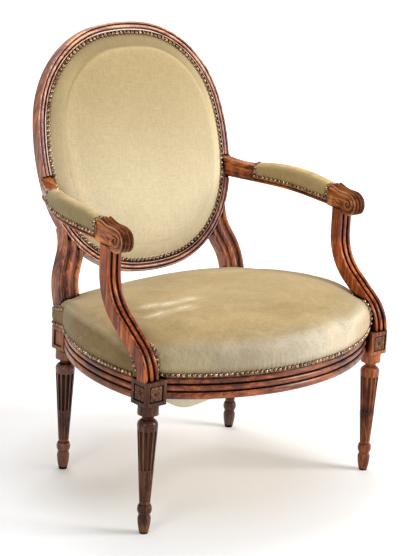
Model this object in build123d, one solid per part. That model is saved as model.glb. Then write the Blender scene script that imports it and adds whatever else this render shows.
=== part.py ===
from build123d import *
import os
from math import asin, atan2, cos, degrees, hypot, radians, sin, sqrt, tan

# Medallion back armchair, in millimetres. +X is the right-hand side seen from the front,
# +Y is the back and +Z is up. "Left" and "right" are as seen from the front.
# It is modelled round the middle plane and moved at the end, so that the origin
# is on the floor at the middle of the whole chair's outline.

# Seat frame
front_leg_x = 316.0
front_leg_y = -239.0
rear_leg_x = 244.0
rear_leg_y = 143.0
block_base = 280.0
rail_base = 286.0
moulding_top = 331.0
rail_top = 350.0
rail_thickness = 28.0
front_block_width = 51.0
front_block_depth = 50.0
rear_block_width = 44.0
rear_block_depth = 44.0
block_corner_radius = 8.0
panel_margin = 8.0
panel_depth = 2.5
front_bow_radius = 452.0
front_rail_setback = 17.0
side_bow_radius = 486.0
side_rail_setback = 5.5
side_rail_rear_setback = 1.0
rear_rail_setback = 3.0
rebate_setback = 0.6
rail_bead_rise = 2.4
rail_hollow_depth = 3.6
rail_member_shares = (0.27, 0.09, 0.25, 0.09, 0.30)

# Turned legs, from the floor up
leg_tip_radius = 8.8
toupie_radius = 13.9
toupie_height = 33.0
toupie_swell = 1.0
toupie_waist_radius = 11.6
toupie_waist_height = 42.0
ring_base = 44.0
ring_radius = 15.2
ring_edge_radius = 12.8
shaft_base = 62.5
shaft_base_radius = 11.0
shaft_top = 233.0
shaft_top_radius = 21.2
neck_height = 247.0
neck_radius = 11.5
collar_base = 258.0
collar_radius = 21.8
flute_count = 12
flute_margin = 11.0
flute_top_radius = 3.3
flute_base_radius = 1.8
cable_height_share = 0.45
cable_radius_share = 0.72

# Mortise and tenon joints
tenon_thickness = 9.0
tenon_length = 20.0
tenon_margin = 7.0
tenon_from_face = 16.0
joint_gap = 0.2
peg_radius = 2.5
peg_length = 30.0
peg_gap = 0.1
peg_inset = 7.5

# Medallion, drawn flat on the raked back plane: the nail line is its guide line
back_height = 691.0
back_rake = 15.3
nail_line_half_width = 240.0
nail_line_half_height = 254.4
crest_arc_radius = 440.7
flank_arc_radius = 445.4
corner_arc_radius = 209.3
rim_reach = 25.0
opening_reach = 14.0
frame_thickness = 24.0
inner_step_depth = 4.6
inner_step_reach = 5.0
rebate_reach = 5.0
frame_face = 2.0
frame_member_shares = (0.18, 0.13, 0.38, 0.07, 0.24)
frame_bead_rise = 2.6
frame_hollow_depth = 1.7
frame_back_chamfer = 4.0
dowel_radius = 4.0
dowel_length = 28.0
dowel_depth = 12.0
dowel_spread = 15.0

# Rear uprights, also on the back plane
upright_foot_y = 126.5151
upright_x = 238.5
upright_width = 54.0
upright_straight_top = -300.0
upright_lower_radius = 130.0
upright_lean = 25.0
upright_slant_length = 26.0
upright_upper_radius = 110.0
upright_head_length = 24.0
upright_foot_depth = 3.0
upright_bead_rise = 2.6
upright_hollow_depth = 3.0
upright_member_shares = (0.19, 0.17, 0.28, 0.17, 0.19)
upright_dowel_angles = (-35.0, -43.0)
seating_gap = 0.2

# Arm stumps, drawn in their upright side plane from the block up
stump_width = 35.0
stump_depth = 28.0
stump_front_setback = 5.4
stump_lower_radius = 87.0
stump_lean = 52.5
stump_slant_length = 75.6
stump_upper_radius = 101.0
stump_member_shares = (0.22, 0.16, 0.24, 0.16, 0.22)
stump_bead_rise = 1.6
stump_hollow_depth = 3.6
stump_tenon_width = 12.0
stump_tenon_depth = 10.0
stump_tenon_length = 22.0
stump_tenon_from_front = 9.0

# Arms, drawn level and then tilted up to the back about the scroll's axis
scroll_y = -142.0
scroll_drop = 97.0
scroll_radius = 17.5
scroll_eye_radius = 6.0
scroll_eye_rise = 1.0
arm_tilt = 4.0
arm_width = 28.0
arm_underside = 15.4
arm_seat = 10.0
hand_rest_length = 72.0
hand_rest_height = 31.0
hand_rest_dip = 3.0
hand_rest_overlap = 8.0
scroll_hollow_depth = 3.0
scroll_hollow_width = 4.4
arm_straight_end = 137.0
arm_turn = 24.0
pad_end = 284.0
arm_rear_height = 23.0
arm_joint_height = 31.0
arm_joint_u = 256.0
arm_joint_v = -67.0
arm_overrun = 40.0
arm_groove_width = 2.4
arm_groove_depth = 1.6
arm_groove_height = 6.0
arm_tenon_width = 11.0
arm_tenon_height = 24.0
arm_tenon_length = 13.0

# Seat upholstery
seat_crown_rise = 82.0
seat_crown_y = -80.0
seat_crown_depth_radius = 900.0
seat_crown_width_radius = 2200.0
seat_shoulder_rise = 16.0
seat_rim_rise = 42.0
seat_shoulder_reach = 26.0
seat_rise_share = 0.36
seat_corner_rise = 28.0
seat_corner_reach = 30.0
seat_corner_depth = 74.0
seat_cover_gap = 2.0
seat_cover_reach = 2.0
cloth_thickness = 2.2
soft_gap = 0.3
fit_gap = 0.5
webbing_width = 55.0
webbing_thickness = 1.5
webbing_inset = 4.0
seat_webs_across = 4
seat_webs_along = 5
seat_web_pitch_across = 74.0
seat_web_pitch_along = 78.0
seat_web_middle_y = -70.0
canvas_thickness = 0.8
dust_cloth_thickness = 0.8
dust_cloth_inset = 8.0
dust_cloth_sag = 14.0
dust_cloth_dish_radius = 205.0
dust_cloth_dish_y = -70.0

# Back upholstery, heights measured forward from the back plane
back_pad_edge = 6.0
back_pad_border = 32.0
back_pad_border_height = 20.0
back_pad_crown_height = 26.0
back_pad_edge_height = 4.0
back_pad_swell_share = 0.72
back_cover_wall = 1.0
back_webs_across = 5
back_webs_along = 4
back_web_pitch = 86.0
back_web_gap = 0.2
back_cover_flange = 3.0
rear_cloth_thickness = 1.6
rear_cloth_reach = 4.0

# Arm pads
pad_width = 33.0
pad_skirt = 5.0
pad_crown_height = 39.0
pad_front_height = 33.0
pad_rear_height = 29.0
pad_end_round = 12.0
pad_knee_share = 0.62
pad_shoulder_width_share = 0.66
pad_shoulder_drop_share = 0.24

# How far a quarter round's middle point stands from its corner, and how round a reed is
quarter_round_share = 0.293
reed_round_share = 0.85
# Room that a cutting shape runs past what it cuts
overrun = 60.0


def span(x0, x1, y0, y1, z0, z1):
    """A box between two corners."""
    middle = Pos((x0 + x1) / 2, (y0 + y1) / 2, (z0 + z1) / 2)
    return middle * Box(abs(x1 - x0), abs(y1 - y0), abs(z1 - z0))


def outline(start, steps):
    """A flat face from points; a pair of points is an arc through the first to the second."""
    edges, here = [], start
    for step in steps:
        if isinstance(step[0], tuple):
            edges.append(Edge.make_three_point_arc((*here, 0), (*step[0], 0), (*step[1], 0)))
            here = step[1]
        else:
            edges.append(Edge.make_line((*here, 0), (*step, 0)))
            here = step
    if hypot(here[0] - start[0], here[1] - start[1]) > 0:
        edges.append(Edge.make_line((*here, 0), (*start, 0)))
    return Face(Wire(edges))


def rounded(start, end):
    """A quarter round between two points, swelling to the side of the start's first value."""
    x = start[0] + (end[0] - start[0]) * quarter_round_share
    y = end[1] - (end[1] - start[1]) * quarter_round_share
    return (x, y), end


def reeding(start_x, base, width, shares, rise, depth):
    """Steps across a moulded face: round beads and round hollows in turn.

    One that is deep for its width gets upright sides and a flatter round."""
    steps, here = [], start_x
    for number, share in enumerate(shares):
        member = share * width / sum(shares)
        half = member / 2
        way, reach = (-1, depth) if number % 2 else (1, rise)
        side = way * max(reach - half * reed_round_share, 0)
        if side:
            steps.append((here, base + side))
        steps.append(((here + half, base + way * reach), (here + member, base + side)))
        if side:
            steps.append((here + member, base))
        here += member
    return steps


def facing_side(face):
    """Turns a profile drawn with its moulded face up, so that the face looks along +X."""
    return Rot(0, 0, -90) * face


def run(profile, start, heading, moves):
    """Carries a profile along lines (length,) and arcs (radius, turn) in the XY plane.

    The profile's +X lies to the left of the way ahead and its +Y points up. A positive
    turn bends to the left."""
    pieces = []
    here = Vector(*start)
    for move in moves:
        ahead = Vector(cos(radians(heading)), sin(radians(heading)))
        left = Vector(-ahead.Y, ahead.X)
        section = Plane(origin=here, x_dir=left, z_dir=ahead) * profile
        if len(move) == 1:
            pieces.append(extrude(section, amount=move[0], dir=ahead))
            here = here + ahead * move[0]
            continue
        radius, turn = move
        side = 1 if turn > 0 else -1
        centre = here + left * (radius * side)
        axis = Axis(centre, (0, 0, side))
        pieces.append(revolve(section, axis=axis, revolution_arc=abs(turn)))
        here = centre + (here - centre).rotate(Axis.Z, turn)
        heading += turn
    return pieces[0].fuse(*pieces[1:]) if len(pieces) > 1 else pieces[0]


def circle_middle(first, second, radius):
    """The middle of a circle through two points, on the left of the way between them."""
    gap_x, gap_y = second[0] - first[0], second[1] - first[1]
    chord = hypot(gap_x, gap_y)
    reach = sqrt(radius**2 - (chord / 2) ** 2)
    middle_x, middle_y = (first[0] + second[0]) / 2, (first[1] + second[1]) / 2
    return middle_x - gap_y / chord * reach, middle_y + gap_x / chord * reach


def mirrored(shape):
    return mirror(shape, about=Plane.YZ)


# Places worked out from the sizes above
front_block_inner_x = front_leg_x - front_block_width / 2
front_block_outer_x = front_leg_x + front_block_width / 2
front_block_front_y = front_leg_y - front_block_depth / 2
front_block_rear_y = front_leg_y + front_block_depth / 2
rear_block_inner_x = rear_leg_x - rear_block_width / 2
rear_block_outer_x = rear_leg_x + rear_block_width / 2
rear_block_front_y = rear_leg_y - rear_block_depth / 2
rear_block_rear_y = rear_leg_y + rear_block_depth / 2
front_rail_end_y = front_block_front_y + front_rail_setback
front_bow_middle_y = front_rail_end_y + sqrt(front_bow_radius**2 - front_block_inner_x**2)
side_rail_front = (front_block_outer_x - side_rail_setback, front_block_rear_y)
side_rail_rear = (rear_block_outer_x - side_rail_rear_setback, rear_block_front_y)
side_bow_middle = circle_middle(side_rail_front, side_rail_rear, side_bow_radius)
rear_rail_face = rear_block_rear_y - rear_rail_setback
tenon_base = rail_base + tenon_margin
tenon_top = moulding_top - tenon_margin
peg_height = (tenon_base + tenon_top) / 2
seat_crown_height = rail_top + seat_crown_rise
seat_shoulder_height = rail_top + seat_shoulder_rise
seat_rim_height = rail_top + seat_rim_rise
seat_corner_height = rail_top + seat_corner_rise
seat_cover_base = moulding_top + seat_cover_gap
back_y = upright_foot_y + (back_height - moulding_top) * tan(radians(back_rake))
scroll_height = back_height - scroll_drop
stump_x = front_block_outer_x - stump_width / 2
stump_front_y = front_block_front_y + stump_front_setback
back_plane = Plane(
    origin=(0, back_y, back_height),
    x_dir=(1, 0, 0),
    z_dir=(0, -cos(radians(back_rake)), sin(radians(back_rake))),
)
arm_plane = Plane(
    origin=(0, scroll_y, scroll_height),
    x_dir=(1, 0, 0),
    z_dir=(0, -sin(radians(arm_tilt)), cos(radians(arm_tilt))),
)


def tenon_frame(middle, axis, gap=0.0):
    """A tenon's box: from a joint face along an axis, either way, by the tenon's length."""
    half = tenon_thickness / 2 + gap
    reach = tenon_length + gap
    x, y, way = middle
    z0, z1 = tenon_base - gap, tenon_top + gap
    if axis == "x":
        return span(x, x + way * reach, y - half, y + half, z0, z1)
    return span(x - half, x + half, y, y + way * reach, z0, z1)


# Tenons of the right-hand half: joint place and the way that they point
front_tenon = ((front_block_inner_x, front_rail_end_y + tenon_from_face, 1), "x")
side_front_tenon = ((side_rail_front[0] - rail_thickness / 2, front_block_rear_y, -1), "y")
side_rear_tenon = ((side_rail_rear[0] - rail_thickness / 2, rear_block_front_y, 1), "y")
rear_tenon_y = rear_rail_face - rail_thickness / 2
rear_tenon = ((rear_block_inner_x, rear_tenon_y, 1), "x")


def peg(start, way, gap=0.0):
    """A round peg from a point along a horizontal direction."""
    plane = Plane(origin=(*start, peg_height), z_dir=(*way, 0))
    return plane * Cylinder(peg_radius + gap, peg_length, align=(Align.CENTER, Align.CENTER, Align.MIN))


def right_pegs(gap=0.0):
    """The pegs through the right-hand half's four tenons."""
    panel_floor = front_block_outer_x - panel_depth
    return [
        peg((front_block_inner_x + tenon_length / 2, front_block_rear_y), (0, -1), gap),
        peg((panel_floor, front_block_rear_y - peg_inset), (-1, 0), gap),
        peg((rear_block_inner_x, rear_block_front_y + peg_inset), (1, 0), gap),
        peg((rear_block_inner_x + tenon_length / 2, rear_block_rear_y), (0, -1), gap),
    ]


def leg_profile():
    """Half of the turned leg's outline, from the tip to the collar under the block."""
    ring_middle = (ring_base + shaft_base) / 2
    return outline(
        (0, 0),
        [
            (leg_tip_radius, 0),
            (((leg_tip_radius + toupie_radius) / 2 + toupie_swell, toupie_height / 2),
             (toupie_radius, toupie_height)),
            (toupie_waist_radius, toupie_waist_height),
            (toupie_waist_radius, ring_base),
            (ring_edge_radius, ring_base),
            ((ring_radius, ring_middle), (ring_edge_radius, shaft_base)),
            (shaft_base_radius, shaft_base),
            (shaft_top_radius, shaft_top),
            rounded((shaft_top_radius, shaft_top), (neck_radius, neck_height)),
            rounded((neck_radius, neck_height), (collar_radius, collar_base)),
            (collar_radius, block_base),
            (0, block_base),
        ],
    )


def flute_cutter(radius_share, top, lift):
    """A tapered round-ended rod along the shaft's surface, for a flute or its cable."""
    base = shaft_base + flute_margin
    slope = (shaft_top_radius - shaft_base_radius) / (shaft_top - shaft_base)

    def place(height):
        share = (height - shaft_base) / (shaft_top - shaft_base)
        radius = flute_base_radius + (flute_top_radius - flute_base_radius) * share
        return shaft_base_radius + slope * (height - shaft_base), radius

    base_reach, base_radius = place(base)
    top_reach, top_radius = place(top)
    length = hypot(top - base, top_reach - base_reach)
    lean = degrees(atan2(top_reach - base_reach, top - base))
    rod = Cone(
        base_radius * radius_share, top_radius * radius_share, length,
        align=(Align.CENTER, Align.CENTER, Align.MIN),
    )
    rod += Sphere(base_radius * radius_share)
    rod += Pos(0, 0, length) * Sphere(top_radius * radius_share)
    return Pos(base_reach - lift * base_radius, 0, base) * Rot(0, lean, 0) * rod


def turned_leg():
    """A fluted and cabled leg standing on the origin."""
    leg = revolve(Plane.XZ * leg_profile(), axis=Axis.Z)
    flute_top = shaft_top - flute_margin
    cable_top = shaft_base + (shaft_top - shaft_base) * cable_height_share
    turns = [Rot(0, 0, 360 / flute_count * (number + 0.5)) for number in range(flute_count)]
    leg -= [turn * flute_cutter(1, flute_top, 0) for turn in turns]
    leg += [turn * flute_cutter(cable_radius_share, cable_top, cable_radius_share) for turn in turns]
    return leg


def panelled_block(width, depth, front_panel):
    """A leg's block with its outer front corner rounded and its show faces sunk."""
    block = span(-width / 2, width / 2, -depth / 2, depth / 2, block_base, moulding_top)
    corner = block.edges().filter_by(Axis.Z).sort_by(Axis.X)[-2:].sort_by(Axis.Y)[0]
    block = fillet(corner, block_corner_radius)
    low, high = block_base + panel_margin, moulding_top - panel_margin
    side = depth / 2 - panel_margin
    block -= span(width / 2 - panel_depth, width / 2 + overrun, -side, side, low, high)
    if front_panel:
        across = width / 2 - panel_margin
        block -= span(-across, across, -depth / 2 - overrun, -depth / 2 + panel_depth, low, high)
    return block


def front_leg():
    """The right front leg with its block, mortised for both rails and the stump."""
    leg = turned_leg() + panelled_block(front_block_width, front_block_depth, True)
    leg = Pos(front_leg_x, front_leg_y, 0) * leg
    leg -= [tenon_frame(*tenon, joint_gap) for tenon in (front_tenon, side_front_tenon)]
    leg -= [right_pegs(peg_gap)[0], right_pegs(peg_gap)[1]]
    leg -= stump_foot_tenon(joint_gap)
    return leg


def upright_envelope(gap=0.0, reeded=False):
    """The right upright on the back plane, from inside the block to beyond the rim."""
    half = upright_width / 2 + gap
    low, high = -frame_thickness - gap, frame_face
    start_v = (moulding_top - back_height) / cos(radians(back_rake)) - upright_foot_depth
    front = high + upright_bead_rise + gap
    steps = [(-half, front), (half, front)]
    if reeded:
        steps = [(-half, high)] + reeding(
            -half, high, upright_width, upright_member_shares, upright_bead_rise, upright_hollow_depth
        )
    profile = outline((-half, low), steps + [(half, low)])
    moves = [
        (upright_straight_top - start_v,),
        (upright_lower_radius, upright_lean),
        (upright_slant_length,),
        (upright_upper_radius, -upright_lean),
        (upright_head_length,),
    ]
    return back_plane * run(profile, (upright_x, start_v), 90, moves)


def rear_post():
    """The right rear leg, block and upright in one, scribed to the medallion's rim."""
    leg = turned_leg() + panelled_block(rear_block_width, rear_block_depth, False)
    post = Pos(rear_leg_x, rear_leg_y, 0) * leg + upright_envelope(0, True)
    rim = extrude(medallion_face(rim_reach + seating_gap), amount=overrun, both=True)
    post -= back_plane * rim
    post -= [tenon_frame(*tenon, joint_gap) for tenon in (side_rear_tenon, rear_tenon)]
    post -= [right_pegs(peg_gap)[2], right_pegs(peg_gap)[3]]
    post -= upright_dowels(peg_gap)
    return post


def rail_profile():
    """A seat rail's section: three beads and two hollows under a plain rebate."""
    height, rebate = moulding_top - rail_base, rail_top - moulding_top
    steps = [(-rebate, -rebate_setback), (0, -rebate_setback), (0, -rail_bead_rise)]
    steps += reeding(0, -rail_bead_rise, height, rail_member_shares, rail_bead_rise, rail_hollow_depth)
    face = outline((-rebate, -rail_thickness), steps + [(height, -rail_thickness)])
    return Pos(0, moulding_top, 0) * facing_side(face)


def front_rail():
    """The bowed front rail with a tenon at each end."""
    swing = degrees(atan2(front_block_inner_x + tenon_length, front_bow_radius))
    half = 2 * swing
    start = (
        front_bow_radius * sin(radians(half)),
        front_bow_middle_y - front_bow_radius * cos(radians(half)),
    )
    rail = run(rail_profile(), start, 180 + half, [(front_bow_radius, -2 * half)])
    reach = front_block_inner_x
    deep = front_bow_radius
    rail = rail & span(-reach, reach, -deep, 0, 0, rail_top)
    tenon = tenon_frame(*front_tenon)
    rail += [tenon, mirrored(tenon)]
    cutter = right_pegs(peg_gap)[0]
    return rail - [cutter, mirrored(cutter)]


def side_rail():
    """The right side rail, bowed outwards, with a tenon at each end."""
    x, y = side_bow_middle
    rear = degrees(atan2(side_rail_rear[1] - y, side_rail_rear[0] - x))
    front = degrees(atan2(side_rail_front[1] - y, side_rail_front[0] - x))
    spare = degrees(rail_thickness / side_bow_radius)
    top = rear + spare
    start = (x + side_bow_radius * cos(radians(top)), y + side_bow_radius * sin(radians(top)))
    rail = run(rail_profile(), start, top - 90, [(side_bow_radius, front - rear - 2 * spare)])
    rail = rail & span(0, 2 * front_leg_x, front_block_rear_y, rear_block_front_y, 0, rail_top)
    rail -= upright_envelope(seating_gap)
    rail += [tenon_frame(*side_front_tenon), tenon_frame(*side_rear_tenon)]
    return rail - [right_pegs(peg_gap)[1], right_pegs(peg_gap)[2]]


def rear_rail():
    """The straight rear rail, scribed round the feet of the uprights."""
    x = rear_block_inner_x
    rail = span(-x, x, rear_rail_face - rail_thickness, rear_rail_face, rail_base, rail_top)
    upright = upright_envelope(seating_gap)
    cutter = right_pegs(peg_gap)[3]
    tenon = tenon_frame(*rear_tenon)
    rail -= [upright, mirrored(upright)]
    rail += [tenon, mirrored(tenon)]
    return rail - [cutter, mirrored(cutter)]


def oval_centres():
    """The middle of the upper right corner arc, and the crest's and flank's half angles."""
    low_x, low_y = 0, nail_line_half_height - crest_arc_radius
    side_x = nail_line_half_width - flank_arc_radius
    near, far = crest_arc_radius - corner_arc_radius, flank_arc_radius - corner_arc_radius
    gap = hypot(side_x - low_x, -low_y)
    along = (near**2 - far**2 + gap**2) / (2 * gap)
    across = sqrt(near**2 - along**2)
    way_x, way_y = (side_x - low_x) / gap, -low_y / gap
    x, y = low_x + along * way_x + across * way_y, low_y + along * way_y - across * way_x
    crest_half = degrees(atan2(x - low_x, y - low_y))
    flank_half = degrees(atan2(y, x - side_x))
    return x, y, crest_half, flank_half


corner_x, corner_y, crest_half_angle, flank_half_angle = oval_centres()
corner_angle = 90 - crest_half_angle - flank_half_angle
joint_angle = flank_half_angle + corner_angle / 2


def medallion_face(reach):
    """The medallion's oval at a distance outside the nail line, as a flat face."""
    arcs = [
        (corner_x, corner_y, corner_arc_radius, flank_half_angle, 90 - crest_half_angle),
        (0, nail_line_half_height - crest_arc_radius, crest_arc_radius,
         90 - crest_half_angle, 90 + crest_half_angle),
        (-corner_x, corner_y, corner_arc_radius, 90 + crest_half_angle, 180 - flank_half_angle),
        (flank_arc_radius - nail_line_half_width, 0, flank_arc_radius,
         180 - flank_half_angle, 180 + flank_half_angle),
        (-corner_x, -corner_y, corner_arc_radius, 180 + flank_half_angle, 270 - crest_half_angle),
        (0, crest_arc_radius - nail_line_half_height, crest_arc_radius,
         270 - crest_half_angle, 270 + crest_half_angle),
        (corner_x, -corner_y, corner_arc_radius, 270 + crest_half_angle, 360 - flank_half_angle),
        (nail_line_half_width - flank_arc_radius, 0, flank_arc_radius,
         -flank_half_angle, flank_half_angle),
    ]

    def point(x, y, radius, angle):
        return x + (radius + reach) * cos(radians(angle)), y + (radius + reach) * sin(radians(angle))

    start = point(*arcs[0][:4])
    steps = [
        (point(x, y, radius, (first + last) / 2), point(x, y, radius, last))
        for x, y, radius, first, last in arcs
    ]
    steps[-1] = (steps[-1][0], start)
    return outline(start, steps)


def medallion_run(profile, side):
    """Carries a profile along one quarter of the nail line: 0 crest, 1 right, 2 foot, 3 left."""
    x = corner_x if side in (1, 2) else -corner_x
    y = corner_y if side in (0, 1) else -corner_y
    angle = (180 - joint_angle, joint_angle, -joint_angle, 180 + joint_angle)[side]
    start = (
        x + corner_arc_radius * cos(radians(angle)),
        y + corner_arc_radius * sin(radians(angle)),
    )
    along_crest = side in (0, 2)
    first = 90 - crest_half_angle - joint_angle if along_crest else joint_angle - flank_half_angle
    middle = (
        (crest_arc_radius, -2 * crest_half_angle) if along_crest
        else (flank_arc_radius, -2 * flank_half_angle)
    )
    corner = (corner_arc_radius, -first)
    return run(profile, start, angle - 90, [corner, middle, corner])


def frame_profile(moulded=True):
    """The medallion frame's section: a stepped rebate inside, beads and hollows outside."""
    width = rim_reach - rebate_reach
    steps = [
        (-opening_reach, -inner_step_depth),
        (-inner_step_reach, -inner_step_depth),
        (-inner_step_reach, 0),
        (rebate_reach, 0),
    ]
    if moulded:
        steps.append((rebate_reach, frame_face))
        steps += reeding(
            rebate_reach, frame_face, width, frame_member_shares, frame_bead_rise, frame_hollow_depth
        )
    else:
        steps.append((rim_reach, 0))
    steps += [
        (rim_reach, -frame_thickness + frame_back_chamfer),
        (rim_reach - frame_back_chamfer, -frame_thickness),
    ]
    return outline((-opening_reach, -frame_thickness), steps)


def frame_dowels(gap=0.0):
    """Two dowels across each of the four joints of the medallion frame."""
    shapes = []
    for side in range(4):
        x = corner_x if side in (1, 2) else -corner_x
        y = corner_y if side in (0, 1) else -corner_y
        angle = (180 - joint_angle, joint_angle, -joint_angle, 180 + joint_angle)[side]
        for shift in (-dowel_spread / 2, dowel_spread / 2):
            reach = corner_arc_radius + rebate_reach + shift
            spot = (x + reach * cos(radians(angle)), y + reach * sin(radians(angle)), -dowel_depth)
            way = (-sin(radians(angle)), cos(radians(angle)), 0)
            shapes.append(Plane(origin=spot, z_dir=way) * Cylinder(dowel_radius + gap, dowel_length + 2 * gap))
    return [back_plane * shape for shape in shapes]


def upright_dowels(gap=0.0):
    """Two dowels from the right upright into the medallion's rim."""
    shapes = []
    for angle in upright_dowel_angles:
        reach = corner_arc_radius + rim_reach
        way = (cos(radians(angle)), sin(radians(angle)), 0)
        spot = (corner_x + reach * way[0], -corner_y + reach * way[1], -dowel_depth)
        shapes.append(Plane(origin=spot, z_dir=way) * Cylinder(dowel_radius + gap, dowel_length + 2 * gap))
    return [back_plane * shape for shape in shapes]


def medallion_stile():
    """The right stile, with its mouldings cut away between two radii for the arm's end."""
    flank_x, low_y = nail_line_half_width - flank_arc_radius, -corner_y
    top, low = arm_end_heights()
    top_angle = -degrees(asin(-top / (flank_arc_radius + rim_reach)))
    low_angle = -degrees(asin((low_y - low) / (corner_arc_radius + rebate_reach)))
    moulded, plain = frame_profile(), frame_profile(False)
    spans = [
        (moulded, corner_x, corner_y, corner_arc_radius, joint_angle, flank_half_angle),
        (moulded, flank_x, 0, flank_arc_radius, flank_half_angle, top_angle),
        (plain, flank_x, 0, flank_arc_radius, top_angle, -flank_half_angle),
        (plain, corner_x, low_y, corner_arc_radius, -flank_half_angle, low_angle),
        (moulded, corner_x, low_y, corner_arc_radius, low_angle, -joint_angle),
    ]
    pieces = []
    for profile, x, y, radius, first, last in spans:
        start = (x + radius * cos(radians(first)), y + radius * sin(radians(first)))
        pieces.append(run(profile, start, first - 90, [(radius, last - first)]))
    return back_plane * pieces[0].fuse(*pieces[1:])


def medallion_member(side):
    """The frame's crest, right stile or foot, bored for its dowels and housed for the arm."""
    member = medallion_stile() if side == 1 else back_plane * medallion_run(frame_profile(), side)
    bores = frame_dowels(peg_gap)
    member -= [bores[2 * side], bores[2 * side + 1]]
    following = (side + 1) % 4
    member -= [bores[2 * following], bores[2 * following + 1]]
    if side == 2:
        return member - upright_dowels(peg_gap) - [mirrored(bore) for bore in upright_dowels(peg_gap)]
    if side == 1:
        member -= [arm_tenon(joint_gap)] + upright_dowels(peg_gap)
    return member


def stump_head_length():
    """The stump's upright head, from the end of its upper bend to the arm's scroll."""
    lean = radians(stump_lean)
    bends = (stump_lower_radius + stump_upper_radius) * sin(lean)
    return scroll_height - moulding_top - bends - stump_slant_length * cos(lean)


def stump_run(gap=0.0, reeded=False):
    """The right arm stump: an S drawn from the block up to beyond the arm."""
    half = stump_width / 2 + gap
    steps = [(-half, gap), (half, gap)]
    if reeded:
        steps = [(-half, -stump_bead_rise)] + reeding(
            -half, -stump_bead_rise, stump_width, stump_member_shares, stump_bead_rise, stump_hollow_depth
        )
    face = outline((-half, -stump_depth - gap), steps + [(half, -stump_depth - gap)])
    moves = [
        (stump_lower_radius, -stump_lean),
        (stump_slant_length,),
        (stump_upper_radius, stump_lean),
        (stump_head_length() + overrun,),
    ]
    side_plane = Plane(origin=(stump_x, 0, 0), x_dir=(0, 1, 0), z_dir=(1, 0, 0))
    return side_plane * run(facing_side(face), (stump_front_y, moulding_top), 90, moves)


def stump_foot_tenon(gap=0.0):
    y = stump_front_y + stump_tenon_from_front
    half_width, half_depth = stump_tenon_width / 2 + gap, stump_tenon_depth / 2 + gap
    low = moulding_top - stump_tenon_length - gap
    return span(stump_x - half_width, stump_x + half_width, y - half_depth, y + half_depth, low, moulding_top)


def stump_head_tenon(gap=0.0):
    lean = radians(stump_lean)
    rise = (stump_lower_radius + stump_upper_radius) * (1 - cos(lean)) + stump_slant_length * sin(lean)
    y = stump_front_y + rise + stump_depth / 2 - scroll_y
    half_width, half_depth = stump_tenon_width / 2 + gap, stump_tenon_depth / 2 + gap
    top = -arm_underside + stump_tenon_length + gap
    box = span(stump_x - half_width, stump_x + half_width, y - half_depth, y + half_depth, -arm_underside, top)
    return arm_plane * box


def arm_stump():
    """The right arm stump, reeded in front, tenoned into the block and the arm."""
    under_arm = arm_plane.offset(-arm_underside)
    stump = split(stump_run(0, True), bisect_by=under_arm, keep=Keep.BOTTOM)
    return stump + [stump_foot_tenon(), stump_head_tenon()]


def hand_rest_face(inset):
    """The hand rest and its scroll seen from the side, drawn in by an inset in the hollows."""
    radius, height = scroll_radius - inset, hand_rest_height - inset
    top_middle = (radius + height) / 2 - hand_rest_dip / 2
    return outline(
        (0, radius),
        [
            ((-radius, 0), (0, -radius)),
            (scroll_radius / 2, -arm_underside + inset / 2),
            (hand_rest_length, -arm_underside + inset / 2),
            (hand_rest_length, height),
            ((hand_rest_length / 2, top_middle), (0, radius)),
        ],
    )


def hand_rest():
    """The right arm's front block: three beads that roll over into the scroll."""
    side = Plane(origin=(stump_x, 0, 0), x_dir=(0, 1, 0), z_dir=(1, 0, 0))
    block = extrude(side * hand_rest_face(0), amount=stump_width / 2, both=True)
    bead = (stump_width - 2 * scroll_hollow_width) / 3
    for way in (-1, 1):
        place = Pos(way * (bead + scroll_hollow_width) / 2, 0, 0)
        outer = extrude(side * hand_rest_face(-scroll_hollow_depth), amount=scroll_hollow_width / 2, both=True)
        inner = extrude(side * hand_rest_face(scroll_hollow_depth), amount=scroll_hollow_width, both=True)
        ring = outer - inner
        ring -= span(0, 2 * stump_x, 0, hand_rest_length + overrun, -overrun, -arm_underside / 2)
        ring -= span(0, 2 * stump_x, hand_rest_length, hand_rest_length + overrun, -overrun, overrun)
        block -= place * ring
    eye = Cylinder(scroll_eye_radius, stump_width + 2 * scroll_eye_rise)
    return block + Plane(origin=(stump_x, 0, 0), z_dir=(1, 0, 0)) * eye


def arm_path():
    """Radius of the arm's bend and length of the straight behind it, up to the medallion."""
    joint = arm_plane.to_local_coords(back_plane.from_local_coords((arm_joint_u, arm_joint_v, 0)))
    inward, back = stump_x - joint.X, joint.Y - arm_straight_end
    turn = radians(arm_turn)
    radius = (back * sin(turn) - inward * cos(turn)) / (1 - cos(turn))
    return radius, (inward - radius * (1 - cos(turn))) / sin(turn)


def arm_run(profile, front):
    """Carries a profile along the right arm, from a place on its straight part backwards."""
    radius, length = arm_path()
    moves = [(arm_straight_end - front,), (radius, arm_turn), (length + arm_overrun,)]
    return run(profile, (stump_x, front), 90, moves)


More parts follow.
